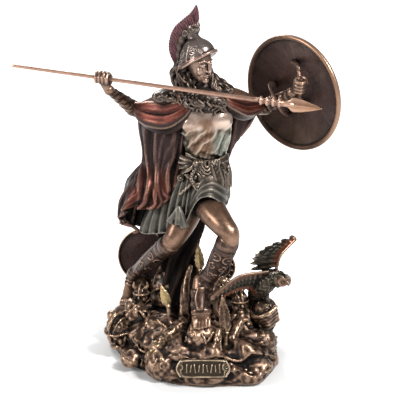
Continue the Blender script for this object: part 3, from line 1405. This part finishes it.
def build_shield():
    bm = bmesh.new()
    inner = SHIELD_RADIUS - 2.6
    depth = lambda r: 5 * (1 - (r / inner) ** 2)
    radii = np.linspace(0, inner - 0.2, 30)
    profile = [[r, depth(r)] for r in radii]
    profile += [[inner + 0.1, -0.6], [inner + 0.5, -1.1], [inner + 1.1, -1.35], [inner + 1.9, -1.2]]
    profile += [[SHIELD_RADIUS - 0.15, -0.7], [SHIELD_RADIUS, 0], [SHIELD_RADIUS - 0.15, 0.7]]
    profile += [[inner + 1.6, 1.25], [inner + 0.8, 1.3], [inner, 1.7]]
    for r in radii[::-1]:
        raised = (
            0.55 * math.exp(-(((r - 22) / 0.9) ** 2)) + 0.55 * math.exp(-(((r - 9) / 0.9) ** 2))
        )
        profile.append([r, depth(r) + 1.5 + raised])
    lathe(bm, profile, SHIELD_AT, SHIELD_AXIS, 180)
    strap = [
        [44.6, 21.3, 144.6, 1.6, 0.8], [41, 12.4, 146, 1.6, 0.6], [43, 4, 142, 1.6, 0.6],
        [46.4, 4, 136, 1.6, 0.6], [49.6, 10, 131.6, 1.6, 0.6], [50.9, 17, 131.2, 1.6, 0.8]
    ]
    limb(bm, strap, sides=24, steps=90, front=(0.8, -0.5, 0.4))
    grip = [
        [52.5, 11.5, 159, 1.2], [54.6, 4, 158, 1.05], [55.4, -0.6, 152, 0.95],
        [55.4, -1, 149.4, 0.95], [55.6, 0, 144.6, 0.95], [56.6, 5, 139.4, 1.05],
        [56.9, 11.1, 137, 1.2]
    ]
    rope = lambda angle, t: 1 + 0.12 * np.cos(2 * angle + 90 * t)
    limb(bm, grip, sides=20, steps=160, shape=rope)
    turn = np.array(upright_to(SHIELD_AXIS))

    def measured(p):
        q = (p - SHIELD_AT) @ turn
        return q, np.hypot(q[:, 0], q[:, 1])

    def scratches(p, n):
        q, radius = measured(p)
        angle = np.arctan2(q[:, 1], q[:, 0])
        ring = np.stack([np.cos(angle) * 40, np.sin(angle) * 40, radius * 0.12], 1)
        inside = (radius < 27.4) & (np.abs(q[:, 2] - 5 * (1 - (radius / 28) ** 2)) < 2.4)
        return (0.05 * lumps(ring, 1.2, 6) + 0.07 * lumps(p, 4, 5)) * inside

    def rim(p, n):
        east = 0.05 + 0.95 * ramp(p[:, 0] + 0.35 * (p[:, 2] - 143), 48, 66)
        return np.clip(ramp(measured(p)[1], 28.6, 29.4) * east, 0, 0.9)

    def dark_rim(p, n):
        return np.clip(ramp(measured(p)[1], 28, 29) - rim(p, n), 0, 0.9)

    cast(
        "shield", bm,
        bronze(
            "shield_bronze", "shield", 0x7D5F4D, dark=0x120C0A, wash=0xA07E66, glow=0x0B0706,
            tints=[("Z", 132, 112, 0x66503F, 0.7)], gleam=0.6, shade=0.8
        ), nodes=["shield"], voxel=None, relief=scratches, wash=rim,
        glow=dark_rim
    )


OWL_BODY = [
    [30.6, -5, 29.6, 2.6, 0.8], [32.6, -7.6, 35, 3, 1.6], [35.2, -11, 42, 5, 4.6],
    [39.4, -14.4, 47.6, 5.6, 5.2], [43.4, -17, 50.4, 4, 4], [46, -18.4, 50.9, 4.7, 4.6],
    [47.4, -19, 50.8, 3.7, 3.7]
]
OWL_WINGS = [
    (
        [[44, -14.5, 51], [46.1, -11, 59.9], [49.7, -8, 63.8], [54.9, -4, 67.6]],
        [[33.4, -12, 47.6], [31.6, -7, 56.4], [38, -5, 63], [51.6, -4, 69.4]], 11
    ),
    (
        [[40, -16, 54], [31, -19, 54.2], [24.8, -21, 53.3], [18.5, -24, 49.9], [11.4, -26.6, 44.6]],
        [[36, -13, 42.6], [30, -16, 44], [24.2, -19, 44], [17.5, -23, 42.4], [12, -26, 41.2]], 13
    )
]


OWL_EYES = (
    (np.array([47.4, -22.2, 50.8]), (0.2, -0.96, 0.1)),
    (np.array([50.8, -19.8, 50.8]), (0.93, -0.35, 0.1))
)


def feather(bm, root, tip, wide, side, thick=0.7):
    """A flat feather with a rounded end and a quill along it"""
    root, tip, side = np.array(root, float), np.array(tip, float), np.array(side, float)
    s = np.linspace(0, 1, 11)
    half = wide * np.sqrt(np.clip(1 - ((s - 0.45) / 0.56) ** 2, 0, 1)) + 0.08
    rows = [
        [*(root + (tip - root) * k), w, thick * (0.75 if k < 0.9 else 0.5)] for k, w in zip(s, half)
    ]
    lens = lambda angle, t: 1 + 0.16 * np.exp(-(((np.degrees(angle) % 180 - 90) / 14) ** 2))
    limb(bm, rows, sides=20, steps=22, front=side, shape=lens)


def build_owl():
    bm = bmesh.new()
    limb(bm, OWL_BODY, sides=48, steps=80, front=(0.2, -0.6, 0.8))
    for centre, axis in OWL_EYES:
        ring = [[0, 0.1], [1.1, 0.2], [1.4, 0.8], [1.9, 0.35], [2.3, 0.8], [2.5, -0.6], [0, -1]]
        lathe(bm, ring, centre, axis, 28)
        ball(bm, centre, 1.1)
    for side in (-1, 1):
        brow = [
            [48.9, -22.4, 52.4, 0.7], [48.2 - side * 1.8, -21.6, 53.8, 0.8],
            [46.6 - side * 3, -19.4, 53.8, 0.6]
        ]
        limb(bm, brow, sides=14, steps=20)
    beak = [[49.8, -22.2, 51, 0.8, 0.8], [50.4, -23, 49.8, 0.6, 0.6], [50, -22.8, 48.4, 0.2, 0.2]]
    limb(bm, beak, sides=14, steps=16)
    for lead, trail, count in OWL_WINGS:
        t = np.linspace(0, 1, count)
        front, back = spline(lead, t), spline(trail, t)
        side = unit(np.cross(front[-1] - front[0], back[0] - front[0]))
        side = side if side[1] < 0 else -side
        step = np.linalg.norm(np.diff(front, axis=0), axis=1).mean()
        for k in range(count):
            a, b = front[k], back[k]
            feather(
                bm, a + (b - a) * 0.2 + side * -0.2,
                a + (b - a) * 1.02 + side * (-0.5 + 0.12 * (k % 2)), step * 0.62, side
            )
            feather(bm, a, a + (b - a) * 0.62 + side * 0.3, step * 0.55, side)
            feather(bm, a + (b - a) * -0.04, a + (b - a) * 0.34 + side * 0.7, step * 0.5, side)
        limb(bm, [[*p, 0.85, 0.8] for p in front], sides=16, steps=60, front=side)
    for k in range(5):
        x = 30.6 + (k - 2) * 1.1
        feather(
            bm, [33 + (k - 2) * 0.8, -8.4, 38], [x, -6.4 + abs(k - 2) * 0.4, 29], 1.1,
            (0.2, -0.9, 0.1)
        )
    for x, y in ((36, -10), (39.4, -12.6)):
        limb(
            bm, [[x, y, 42, 1.8], [x + 0.8, y - 0.4, 37.6, 1.3], [x + 1.2, y - 0.8, 35.6, 1.2]],
            sides=16
        )
        for k in (-1, 0, 1):
            claw = [
                [x + 1, y - 1, 36, 0.7], [x + 1 + 1.3 * k, y - 2.6, 35.2, 0.7],
                [x + 1.1 + 1.7 * k, y - 3.3, 34.4, 0.35]
            ]
            limb(bm, claw, sides=12, steps=14)

    def plumage(p, n):
        path = spline([row[:3] for row in OWL_BODY], np.linspace(0, 1, 60))
        gap = gaps(p, path)
        nearest = gap.argmin(1)
        on_body = ramp(gap.min(1), 6.4, 5.6) * ramp(nearest, 6, 10) * ramp(nearest, 56, 50)
        off = p - path[nearest]
        turn = np.arctan2(off[:, 0] + off[:, 1], off[:, 2])
        around = lumps(p, 1.6, 7)
        row = ridged(nearest / 4.4 + 0.3 * np.cos(11 * turn) + 0.3 * around, 0.7) - 0.5
        return on_body * (0.3 * row + 0.15 * around)

    def edges(p, n):
        made = np.zeros(len(p))
        for lead, _, _ in OWL_WINGS:
            line = spline(lead, np.linspace(0, 1, 60))
            gap = gaps(p, line).min(1)
            made = np.maximum(made, ramp(gap, 2.2 + 1.8 * ramp(p[:, 2], 55, 58), 1.0))
        tips = spline(OWL_WINGS[1][1], np.linspace(0.1, 0.75, 60))
        gap = gaps(p, tips).min(1)
        upper = ramp(p[:, 2], 55, 58)
        return np.clip(np.maximum(made * (0.3 + 0.2 * upper), ramp(gap, 3, 1) * 0.95), 0, 0.95)

    def eyes(p, n):
        made = np.zeros(len(p))
        for centre, _ in OWL_EYES:
            gap = np.linalg.norm(p - centre, axis=1)
            made = np.maximum(made, ramp(gap, 2.9, 2.5) * ramp(gap, 1.2, 1.6))
        return made * 0.6

    cast(
        "owl", bm,
        bronze(
            "owl_bronze", "feather", 0x82705F, dark=0x0B0907, wash=0x7E4630, glow=0x8A6450,
            gleam=0.7
        ), nodes=["owl"], voxel=0.34, soften=1, relief=plumage, wash=edges,
        glow=eyes
    )


# Plinth and the heap of trophies

ROCK_PLAN = [
    [-46, 19], [-41, 4], [-35, -11], [-23, -24], [-12, -36], [4, -40.4], [21, -40], [36.6, -37],
    [43, -21], [43.5, 2], [39, 23], [23, 37], [0, 40], [-26, 38], [-41, 31]
]
ROCK_LEVELS = [[0, 0.97], [3.6, 1], [8, 1], [12, 0.9], [15.4, 0.93], [19.4, 0.8], [22, 0.5]]
BOULDERS = [
    [[-15, -31, 8], [8, 6.4, 8.4]], [[-31, -18, 6], [6, 6, 5]], [[32, -32, 6], [9, 5.6, 6.6]],
    [[38, 15, 11], [7, 9, 9]], [[13, 32, 12], [11, 7, 9]], [[-15, 33, 12], [11, 6, 10]],
    [[-8, 14, 28], [13, 10, 23]], [[-28, 26, 22], [10, 8, 14]], [[12, 19, 24], [9, 9, 15]],
    [[-36, 14, 15], [7.4, 8, 8.6]], [[5.4, -25, 21], [8, 8, 8.6]], [[-15, -6, 18], [13, 10, 8]],
    [[27, -7, 20], [9, 10, 12]], [[17, -6, 34], [5, 6, 13]], [[-29, 3, 20], [7, 7, 9]]
]


def build_rock():
    bm = bmesh.new()
    columns = 120
    plan = spline(ROCK_PLAN, np.arange(columns) / columns, closed=True)
    rings = []
    for level in np.linspace(0, 1, 30):
        z, share = spline(ROCK_LEVELS, level)[0]
        k = np.arange(columns) / 3
        boulder = 0.055 * np.abs(np.sin(k * 0.8 + math.floor(level * 3) * 1.3)) - 0.02
        height = np.maximum(z + (1.4 * np.sin(k * 1.9 + level * 6) if z > 5 else 0), 0)
        ring = np.column_stack(
            [plan * (share + boulder * (z > 1))[:, None], height * np.ones(columns)]
        )
        rings.append(ring)
    wrap(bm, rings)
    for at, half in BOULDERS:
        ball(bm, at, half, detail=4)

    def crags(p, n):
        rise = ramp(p[:, 2], 1.2, 4)
        facets = 1.5 * np.abs(lumps(p, 8, 1)) - 1.0 * np.abs(lumps(p, 4.6, 2)) ** 0.8
        return rise * (facets + 0.5 * lumps(p, 2.1, 3) - 0.1)

    def gloom(p, n):
        return 0.97 * np.exp(-((((p - [-9, 6, 34]) / [21, 15, 20]) ** 2).sum(1) ** 2))

    piece = cast(
        "rock", bm,
        bronze("rock_bronze", "rock", 0xA98A73, dark=0x0B0806, glow=0x060403, gleam=0.7, bump=0.5),
        nodes=["plinth"], voxel=sizes().rough / MM, relief=crags, glow=gloom
    )
    co, _ = vertex_data(piece.data)
    co[:, 2] = np.maximum(co[:, 2], 0)
    piece.data.vertices.foreach_set("co", (co * MM).astype(np.float32).ravel())
    piece.data.update()


def build_plaque():
    bm = bmesh.new()
    centre = np.array([6.6, -40.6, 11.0])
    lean = np.array(Matrix.Rotation(math.radians(-14), 3, "X"))
    block(bm, centre, (23, 2.6, 9), tilt=-14)

    def on_board(u, v, out=0.0):
        return centre + lean @ np.array([u, -1.4 - out, v])

    corners = [[-11, -2.6], [-9.8, -4], [0, -4.2], [9.8, -4], [10.8, -3], [11, 0]]
    corners += [[10.8, 3], [9.8, 4], [0, 4.2], [-9.8, 4], [-11, 2.6], [-11.6, 0]]
    frame = [[*on_board(u, v), 0.42 + 0.1 * (k % 2)] for k, (u, v) in enumerate(corners)]
    limb(bm, frame, sides=12, steps=140, loop=True, front=VIEWER)
    for side, r in ((-1, 1.6), (1, 2.2)):
        scroll(bm, (side * 12, 0.6), on_board, r, thick=0.6, spin=side, start=90)
        bow = [[side * (12 + 1.3 * math.cos(0.5 * v)), v] for v in np.linspace(-3.8, 3.8, 7)]
        bead(bm, [on_board(u, v) for u, v in bow], 0.6, sides=12, steps=30, front=VIEWER)
    for k in range(9):
        tall = 3.8 - 0.8 * (k % 2)
        lean_out = 0.3 * math.sin(2.3 * k)
        stroke = [
            [*on_board((k - 4) * 2.1 + t * lean_out, t * tall / 2, 0.1), 0.3] for t in (-1, 0, 1)
        ]
        limb(bm, stroke, sides=10, steps=12)
    cast(
        "plaque", bm, bronze("plaque_bronze", 0x463A2C, "gold", gleam=0.95),
        nodes=["plinth"], voxel=0.26, soften=1
    )


def local(at, size, yaw, tilt):
    """The place of a point in a frame of its own, turned and scaled"""
    turn = np.array(turned(yaw, tilt))
    return lambda p: np.array(at, float) + turn @ (np.array(p, float) * size)


def leaning_shield(bm, at, axis, r, plain=False):
    if plain:
        profile = [
            [0, 0.2], [r * 0.5, 0.0], [r * 0.8, -0.5], [r * 0.92, -0.6], [r * 0.95, 0.3], [r, 0.2]
        ]
        lathe(bm, profile + [[r, -1], [r * 0.6, -1.9], [0, -1.6]], at, unit(axis), 72)
        return
    profile = [
        [0, 1.3], [r * 0.12, 1.2], [r * 0.16, 0.5], [r * 0.55, 0.2], [r * 0.6, 0.6],
        [r * 0.66, 0.1], [r * 0.84, -0.5], [r * 0.87, 0.7], [r * 0.94, 1.0], [r, 0.6], [r, -1],
        [r * 0.6, -1.9], [0, -1.6]
    ]
    lathe(bm, profile, at, unit(axis), 72)
    turn = np.array(upright_to(unit(axis)))
    for k in range(int(r * 1.6)):
        a = 2 * math.pi * k / int(r * 1.6)
        ball(
            bm,
            np.array(at) + turn @ np.array([r * 0.75 * math.cos(a), r * 0.75 * math.sin(a), 0.2]),
            0.7, detail=2
        )


def small_parts(bm, at, size, yaw, tilt):
    """Two functions that add balls and beads to a small head, in its own frame"""
    place = local(at, size, yaw, tilt)

    def part(where, half):
        ball(bm, where, [h * size for h in half], yaw=yaw, tilt=tilt, place=place)

    def line(points, r, **options):
        bead(bm, points, r * size, place=place, **options)

    return part, line


def helmet_head(bm, at, size, yaw, tilt=0.0, hood=False):
    """A helmet, or a hood of wound cloth, with the mask of a face under it"""
    part, line = small_parts(bm, at, size, yaw, tilt)
    part([0, 0, 0], [0.92, 1, 1])
    part([0, -0.3, -0.6], [0.64, 0.62, 0.8])
    part([0, -0.72, -1.16], [0.4, 0.36, 0.3])
    for side in (-1, 1):
        part([side * 0.3, -0.82, -0.3], [0.17, 0.15, 0.12])
        line(
            [[side * 0.08, -0.98, -0.12], [side * 0.34, -0.96, -0.04], [side * 0.6, -0.74, -0.16]],
            0.07, sides=10
        )
        part([side * 0.5, -0.5, -0.66], [0.24, 0.3, 0.44])
        line(
            [[side * 0.86, -0.2, -0.1], [side * 0.8, -0.4, -0.7], [side * 0.6, -0.5, -1.05]], 0.14,
            sides=10
        )
    line([[0, -0.95, -0.1], [0, -1.12, -0.42], [0, -0.95, -0.62]], 0.12, sides=12, front=(1, 0, 0))
    line([[-0.2, -0.88, -0.84], [0, -0.98, -0.8], [0.2, -0.88, -0.84]], 0.07, sides=10, front=UP)
    line([[-0.2, -0.86, -0.96], [0, -0.94, -0.98], [0.2, -0.86, -0.96]], 0.07, sides=10, front=UP)
    if hood:
        for k in range(5):
            z = 0.5 - 0.3 * k
            wound = [
                [-1, -0.1, z - 0.1], [-0.5, -0.95 + 0.08 * k, z - 0.2], [0.5, -0.98, z + 0.1],
                [1, -0.1, z + 0.35]
            ]
            line(wound, 0.19, sides=14, steps=30, front=UP)
        part([0, 0, 0.5], [0.9, 0.95, 0.75])
        return
    rim = [[1.02 * math.sin(a), -1.1 * math.cos(a), -0.1 + 0.16 * math.cos(a)] for a in around(16)]
    line(rim, 0.11, sides=12, steps=64, loop=True, front=UP)
    line(
        [[0, -1.04, 0.2], [0, -0.8, 0.86], [0, 0, 1.16], [0, 0.9, 0.7]], 0.14, sides=12,
        front=(1, 0, 0)
    )
    for side in (-1, 1):
        line(
            [
                [side * 0.3, -0.94, 0.24], [side * 0.44, -0.6, 0.7], [side * 0.5, 0, 0.92],
                [side * 0.4, 0.7, 0.66]
            ], 0.06, sides=8
        )


def blade(bm, start, end, half, shaft_to=None, shaft=0.9):
    """A flat pointed blade with a middle ridge, its shaft or hilt running on behind it"""
    start, end = np.array(start, float), np.array(end, float)
    rows = [
        [*(start + (end - start) * t), w * half, d]
        for t, w, d in (
            (0, 0.3, 0.8), (0.12, 0.8, 0.9), (0.25, 1, 1), (0.6, 0.8, 0.8), (0.85, 0.36, 0.5),
            (1, 0.08, 0.2)
        )
    ]
    lens = lambda angle, t: 1 / (np.abs(np.cos(angle)) + np.abs(np.sin(angle))) ** 0.9 * 1.06
    limb(bm, rows, sides=32, steps=50, shape=lens)
    limb(
        bm, [[*(start + (end - start) * t + [0, -0.9 * (1 - t), 0]), 0.3] for t in (0, 0.4, 0.8)],
        sides=8
    )
    if shaft_to is not None:
        limb(
            bm, [[*start, shaft], [*shaft_to, shaft]], sides=20, steps=30,
            shape=lambda a, t: 1 + 0.05 * np.cos(60 * t)
        )
        ball(bm, start, [shaft * 1.5, shaft * 1.5, shaft])


def skull(bm, at, size, yaw, tilt):
    part, line = small_parts(bm, at, size, yaw, tilt)
    part([0, 0.15, 0.15], [0.82, 0.95, 0.86])
    part([0, -0.42, -0.66], [0.44, 0.44, 0.44])
    for side in (-1, 1):
        socket = [
            [side * 0.34 + 0.27 * math.cos(a), -0.84, -0.16 + 0.25 * math.sin(a)] for a in around(8)
        ]
        line(socket, 0.12, sides=10, steps=36, loop=True, front=(0, -1, 0.01))
        part([side * 0.62, -0.5, -0.4], [0.16, 0.3, 0.12])
    for k in range(5):
        part([(k - 2) * 0.15, -0.86, -0.86], [0.07, 0.08, 0.14])


FAR_SHIELD_AT = [-26.4, 31, 45.5]
FAR_SHIELD_RADIUS = 15


def build_trophies():
    bm = bmesh.new()
    leaning_shield(bm, FAR_SHIELD_AT, [-0.3, -0.92, 0.25], FAR_SHIELD_RADIUS, plain=True)
    leaning_shield(bm, [16.4, 24, 41], [0.3, -0.92, 0.2], 8.6)
    leaning_shield(bm, [-22, -15, 13.6], [-0.2, -0.5, 0.84], 6.4)
    helmet_head(bm, [-38.6, -3, 17], 7, -38, 14)
    helmet_head(bm, [-26.7, 6, 34], 3.9, -15, 5)
    for side in (-1, 1):
        limb(
            bm,
            [
                [-26.7 + side * 2, 5, 36.4, 1.3], [-26.7 + side * 3.6, 4, 38.4, 0.9],
                [-26.7 + side * 3.4, 3, 41, 0.3]
            ], sides=14
        )
    helmet_head(bm, [25.5, -11, 37], 4.8, 20, 5)
    helmet_head(bm, [39.6, -10, 28.6], 6.8, -28, 16, hood=True)
    ball(bm, [38, -15.6, 14], [7.6, 7.4, 8.6], detail=4)
    for k in range(4):
        for side in (-1, 1):
            band = [
                [38 + side * 7.4, -15, 17 - k * 3], [38, -23.2, 12.4 - k * 1.6 + side * 0.2],
                [38 - side * 6.4, -19, 7.6 - k]
            ]
            bead(bm, band, 0.6, sides=10, steps=30, front=UP)
    skull(bm, [-31.6, 3, 26], 5, -20, 8)
    ball(bm, [-42.6, 13, 17.4], 3.3)
    for k in range(8):
        a = k * 0.785
        at = np.array([17 + 2.6 * math.cos(a), -8.4 + 1.2 * math.sin(a), 45.6 + 1.8 * math.sin(a)])
        lock(
            bm, [[*at, 1.2], [*(at + [0.9, -1.2, -0.8]), 1.0], [*(at + [0.2, -1.7, -2]), 0.7]],
            strands=2
        )
    ball(bm, [17, -7.6, 45.6], [3.2, 2.8, 2.4])
    blade(bm, [-12, -6, 31], [-15.6, -4, 42.4], 2.9, [-11, -9, 18])
    blade(bm, [5.2, 0, 49], [3.8, 2, 64], 2.7, [5.8, -3, 17])
    blade(bm, [1.4, -23, 27], [-3.8, -29, 16.4], 1.8, [2.6, -21.8, 32.4], 1.4)
    blade(bm, [18.6, -29.4, 26], [16.2, -25, 45], 3.3, [17.8, -28, 10])
    blade(bm, [-28, -15, 12.6], [-24, -11.6, 22], 4.4)
    blade(bm, [-19, -19, 15], [-11, -11, 23], 1.2)
    quiver = [
        [-20.6, -27, 11, 2.6], [-15, -23.4, 17.6, 3.5], [-9, -19.4, 22.4, 3.3], [-4, -16, 26, 2.2]
    ]
    limb(
        bm, quiver, sides=28, steps=60, front=UP,
        shape=lambda a, t: 1 + 0.06 * np.cos(3 * a + 18 * t)
    )
    for t in (0.0, 0.2, 0.5, 0.8, 1.0):
        limb(
            bm, stretch(quiver, max(0, t - 0.02), min(1, t + 0.02), 0.6, 3), sides=24, steps=8,
            front=UP
        )
    limb(
        bm, [[0, 0, 51, 1.1], [-2.6, -4, 42, 1.9], [-3.4, -8, 30, 2.5], [-3.6, -9, 20, 2.8]],
        sides=24, shape=lambda a, t: 1 + 0.1 * np.cos(4 * a + 14 * t)
    )
    limb(bm, [[14.8, -31, 28, 1.3], [13.6, -34, 22.4, 2], [13, -36, 16, 2.5]], sides=20)
    for k in range(4):
        limb(
            bm,
            [
                [13.2 + k * 0.9, -32.6, 25, 0.6], [12.6 + k * 0.9, -35.4, 22 + 0.4 * k, 0.7],
                [12.8 + k, -36.4, 19, 0.5]
            ], sides=12
        )
    limb(bm, [[26, -20, 27, 2.2], [22, -25, 20.6, 2.8], [24, -30, 13, 2.8]], sides=24)
    scatter = np.random.RandomState(7)
    for k in range(60):
        centre, half = (np.array(v, float) for v in BOULDERS[scatter.randint(len(BOULDERS))])
        ray = unit([scatter.uniform(-1, 1), scatter.uniform(-1.4, -0.3), scatter.uniform(0, 1)])
        at = centre + half * ray * 1.02
        along = unit(np.cross(ray, scatter.uniform(-1, 1, 3)))
        across = np.cross(ray, along)
        if k % 9 == 0:
            r = scatter.uniform(1.2, 2)
            hoop = [
                [*(at + r * (along * math.cos(a) + across * math.sin(a))), 0.45] for a in around(8)
            ]
            limb(bm, hoop, sides=10, steps=32, loop=True, front=ray)
        elif k % 3 != 1:
            reach = scatter.uniform(2.4, 4)
            bar = [
                [*(at + along * reach * t + ray * (0.5 - 0.6 * t * t)), 0.75 - 0.3 * abs(t)]
                for t in (-1, 0, 1)
            ]
            limb(bm, bar, sides=12, steps=16)
        else:
            ball(bm, at, scatter.uniform(0.8, 1.4), detail=2)
    for x, z, r in ((31, 8, 2.6), (26, 6, 2.4), (40, 7, 2.6)):
        arc = [[x - r, -31, z, 0.5], [x, -33, z + r * 0.8, 0.8], [x + r, -31, z, 0.5]]
        limb(bm, arc, sides=12, front=UP)

    def dents(p, n):
        worn = (0.12 + 0.2 * ramp(p[:, 2], 40, 26)) * ramp(p[:, 1], 24, 18)
        return worn * (lumps(p, 2.0, 4) + 0.4 * lumps(p, 0.9, 6))

    def golden(p, n):
        near = spot(p, [-13.8, -5, 37.6], [4, 4, 7])
        tall = spot(p, [4.4, 1, 57], [4, 4, 8])
        quiver_end = spot(p, [-18, -26, 14], [7, 6, 5])
        return np.clip(1.1 * near + 0.8 * tall + 0.6 * quiver_end, 0, 0.85)

    def far_dark(p, n):
        from_rim = np.abs(np.linalg.norm(p - FAR_SHIELD_AT, axis=1) - FAR_SHIELD_RADIUS)
        return 0.92 * ramp(p[:, 1], 17, 22) * ramp(from_rim, 0.6, 1.4)

    cast(
        "trophies", bm,
        bronze(
            "trophy_bronze", 0x48372D, 0xB4957A, dark=0x0B0806, wash=0x24120F, glow=0xA08A5E,
            gleam=0.8, rough=0.3, bump=0.4
        ), nodes=["plinth"], voxel=0.36, soften=1, relief=dents,
        wash=far_dark, glow=golden
    )


# Floor, lights and camera

CAMERA_AT = (0.005, -0.6657, 0.3043)
TARGET = (0.005, 0.0, 0.088)
LENS = 120.96
SENSOR = 36
LIT = (0, 0, 0.1)
LIGHTS = (
    ("key", (0.42, -0.5, 0.72), 0.2, 13), ("fill", (-0.75, -0.35, 0.45), 0.25, 6),
    ("rim", (-0.3, 0.6, 0.6), 0.3, 6)
)
SKYLIGHT = 0.3
FLOOR_HALF = 12.0
FLOOR_AT = (0, 0, -0.0002)


def aim(made, at, towards):
    made.location = at
    made.rotation_euler = (Vector(towards) - Vector(at)).to_track_quat("-Z", "Y").to_euler()


def build_stage():
    scene = bpy.context.scene
    bm = bmesh.new()
    bmesh.ops.create_grid(bm, x_segments=1, y_segments=1, size=FLOOR_HALF)
    mesh = bpy.data.meshes.new("floor")
    bm.to_mesh(mesh)
    bm.free()
    floor = placed("floor", mesh)
    floor.location = FLOOR_AT
    paint = Paint("floor_white")
    away = paint.node(
        "ShaderNodeVectorMath", {"operation": "LENGTH"}, {0: paint.place}, out="Value"
    )
    cloud = paint.noise(3, 2)
    shade = [c * 0.96 for c in colours().floor]
    colour = paint.mix(cloud.span(0.3, 0.7), colours().floor, shade)
    glow = paint.mix(away.span(0.045, 0.11), [0.08] * 3, [0.92] * 3)
    material = paint.finish(
        Base_Color=colour, Roughness=0.9, Emission_Color=glow, Emission_Strength=1.0
    )
    mesh.materials.append(material)

    world = bpy.data.worlds.new("studio")
    world.use_nodes = True
    sky = world.node_tree.nodes["Background"]
    sky.inputs["Color"].default_value = (1, 1, 1, 1)
    sky.inputs["Strength"].default_value = SKYLIGHT
    scene.world = world
    for name, at, size, power in LIGHTS:
        lamp = bpy.data.lights.new(name, "AREA")
        lamp.shape, lamp.size, lamp.energy = "DISK", size, power
        aim(placed(name, lamp), at, LIT)

    camera = placed("camera", bpy.data.cameras.new("camera"))
    camera.data.lens, camera.data.sensor_width = LENS, SENSOR
    camera.data.clip_start, camera.data.clip_end = 0.01, 20
    aim(camera, CAMERA_AT, TARGET)
    scene.camera = camera
    scene.view_settings.view_transform = "Standard"


# Operators

UNDOABLE = {"REGISTER", "UNDO"}


class STATUETTE_OT_stage(bpy.types.Operator):
    """Makes the floor, the lights and the camera"""

    bl_idname = "statuette.stage"
    bl_label = "Stage"
    bl_options = UNDOABLE

    def execute(self, context):
        build_stage()
        return {"FINISHED"}


class STATUETTE_OT_body(bpy.types.Operator):
    """Makes the arms, the legs, the hands and the feet"""

    bl_idname = "statuette.body"
    bl_label = "Body"
    bl_options = UNDOABLE

    def execute(self, context):
        build_skin()
        return {"FINISHED"}


class STATUETTE_OT_head(bpy.types.Operator):
    """Makes the face and the hair"""

    bl_idname = "statuette.head"
    bl_label = "Head"
    bl_options = UNDOABLE

    def execute(self, context):
        build_face()
        build_hair()
        return {"FINISHED"}


class STATUETTE_OT_helmet(bpy.types.Operator):
    """Makes the helmet, its crest and the crest's holder"""

    bl_idname = "statuette.helmet"
    bl_label = "Helmet"
    bl_options = UNDOABLE

    def execute(self, context):
        build_helmet()
        build_crest()
        return {"FINISHED"}


class STATUETTE_OT_armour(bpy.types.Operator):
    """Makes the collar, the shoulder guards, the greaves and the arm guards"""

    bl_idname = "statuette.armour"
    bl_label = "Armour"
    bl_options = UNDOABLE

    def execute(self, context):
        build_collar()
        build_armour()
        return {"FINISHED"}


class STATUETTE_OT_dress(bpy.types.Operator):
    """Makes the tunic, the belt and the skirt"""

    bl_idname = "statuette.dress"
    bl_label = "Dress"
    bl_options = UNDOABLE

    def execute(self, context):
        build_tunic()
        build_belt()
        build_skirt()
        return {"FINISHED"}


class STATUETTE_OT_cloak(bpy.types.Operator):
    """Makes the cloak, the drapes on the arms and the cloth behind the legs"""

    bl_idname = "statuette.cloak"
    bl_label = "Cloak"
    bl_options = UNDOABLE

    def execute(self, context):
        build_cloak()
        build_drapes()
        build_trailing()
        return {"FINISHED"}


class STATUETTE_OT_arms(bpy.types.Operator):
    """Makes the spear and the shield"""

    bl_idname = "statuette.arms"
    bl_label = "Spear and shield"
    bl_options = UNDOABLE

    def execute(self, context):
        build_spear()
        build_shield()
        return {"FINISHED"}


class STATUETTE_OT_owl(bpy.types.Operator):
    """Makes the owl"""

    bl_idname = "statuette.owl"
    bl_label = "Owl"
    bl_options = UNDOABLE

    def execute(self, context):
        build_owl()
        return {"FINISHED"}


class STATUETTE_OT_plinth(bpy.types.Operator):
    """Makes the rock, the plaque and the heap of trophies"""

    bl_idname = "statuette.plinth"
    bl_label = "Plinth"
    bl_options = UNDOABLE

    def execute(self, context):
        build_rock()
        build_plaque()
        build_trophies()
        return {"FINISHED"}


OPERATORS = (
    STATUETTE_OT_stage, STATUETTE_OT_body, STATUETTE_OT_head, STATUETTE_OT_helmet,
    STATUETTE_OT_armour, STATUETTE_OT_dress, STATUETTE_OT_cloak, STATUETTE_OT_arms,
    STATUETTE_OT_owl, STATUETTE_OT_plinth
)


class STATUETTE_PT_panel(bpy.types.Panel):
    """Lists the statuette's sizes, colours and pieces"""

    bl_idname = "STATUETTE_PT_panel"
    bl_label = "Statuette"
    bl_space_type = "VIEW_3D"
    bl_region_type = "UI"
    bl_category = "Statuette"

    def draw(self, context):
        column = self.layout.column(align=True)
        for group in (context.scene.statuette_sizes, context.scene.statuette_colours):
            for name in group.__annotations__:
                column.prop(group, name)
        for operator in OPERATORS:
            column.operator(operator.bl_idname)


CLASSES = (StatuetteSizes, StatuetteColours, *OPERATORS, STATUETTE_PT_panel)


def register():
    for cls in CLASSES:
        bpy.utils.register_class(cls)
    bpy.types.Scene.statuette_sizes = bpy.props.PointerProperty(type=StatuetteSizes)
    bpy.types.Scene.statuette_colours = bpy.props.PointerProperty(type=StatuetteColours)


def unregister():
    del bpy.types.Scene.statuette_colours
    del bpy.types.Scene.statuette_sizes
    for cls in reversed(CLASSES):
        bpy.utils.unregister_class(cls)


def main():
    register()
    bpy.ops.statuette.stage()
    bpy.ops.statuette.body()
    bpy.ops.statuette.head()
    bpy.ops.statuette.helmet()
    bpy.ops.statuette.armour()
    bpy.ops.statuette.dress()
    bpy.ops.statuette.cloak()
    bpy.ops.statuette.arms()
    bpy.ops.statuette.owl()
    bpy.ops.statuette.plinth()
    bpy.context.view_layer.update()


if __name__ == "__main__":
    main()
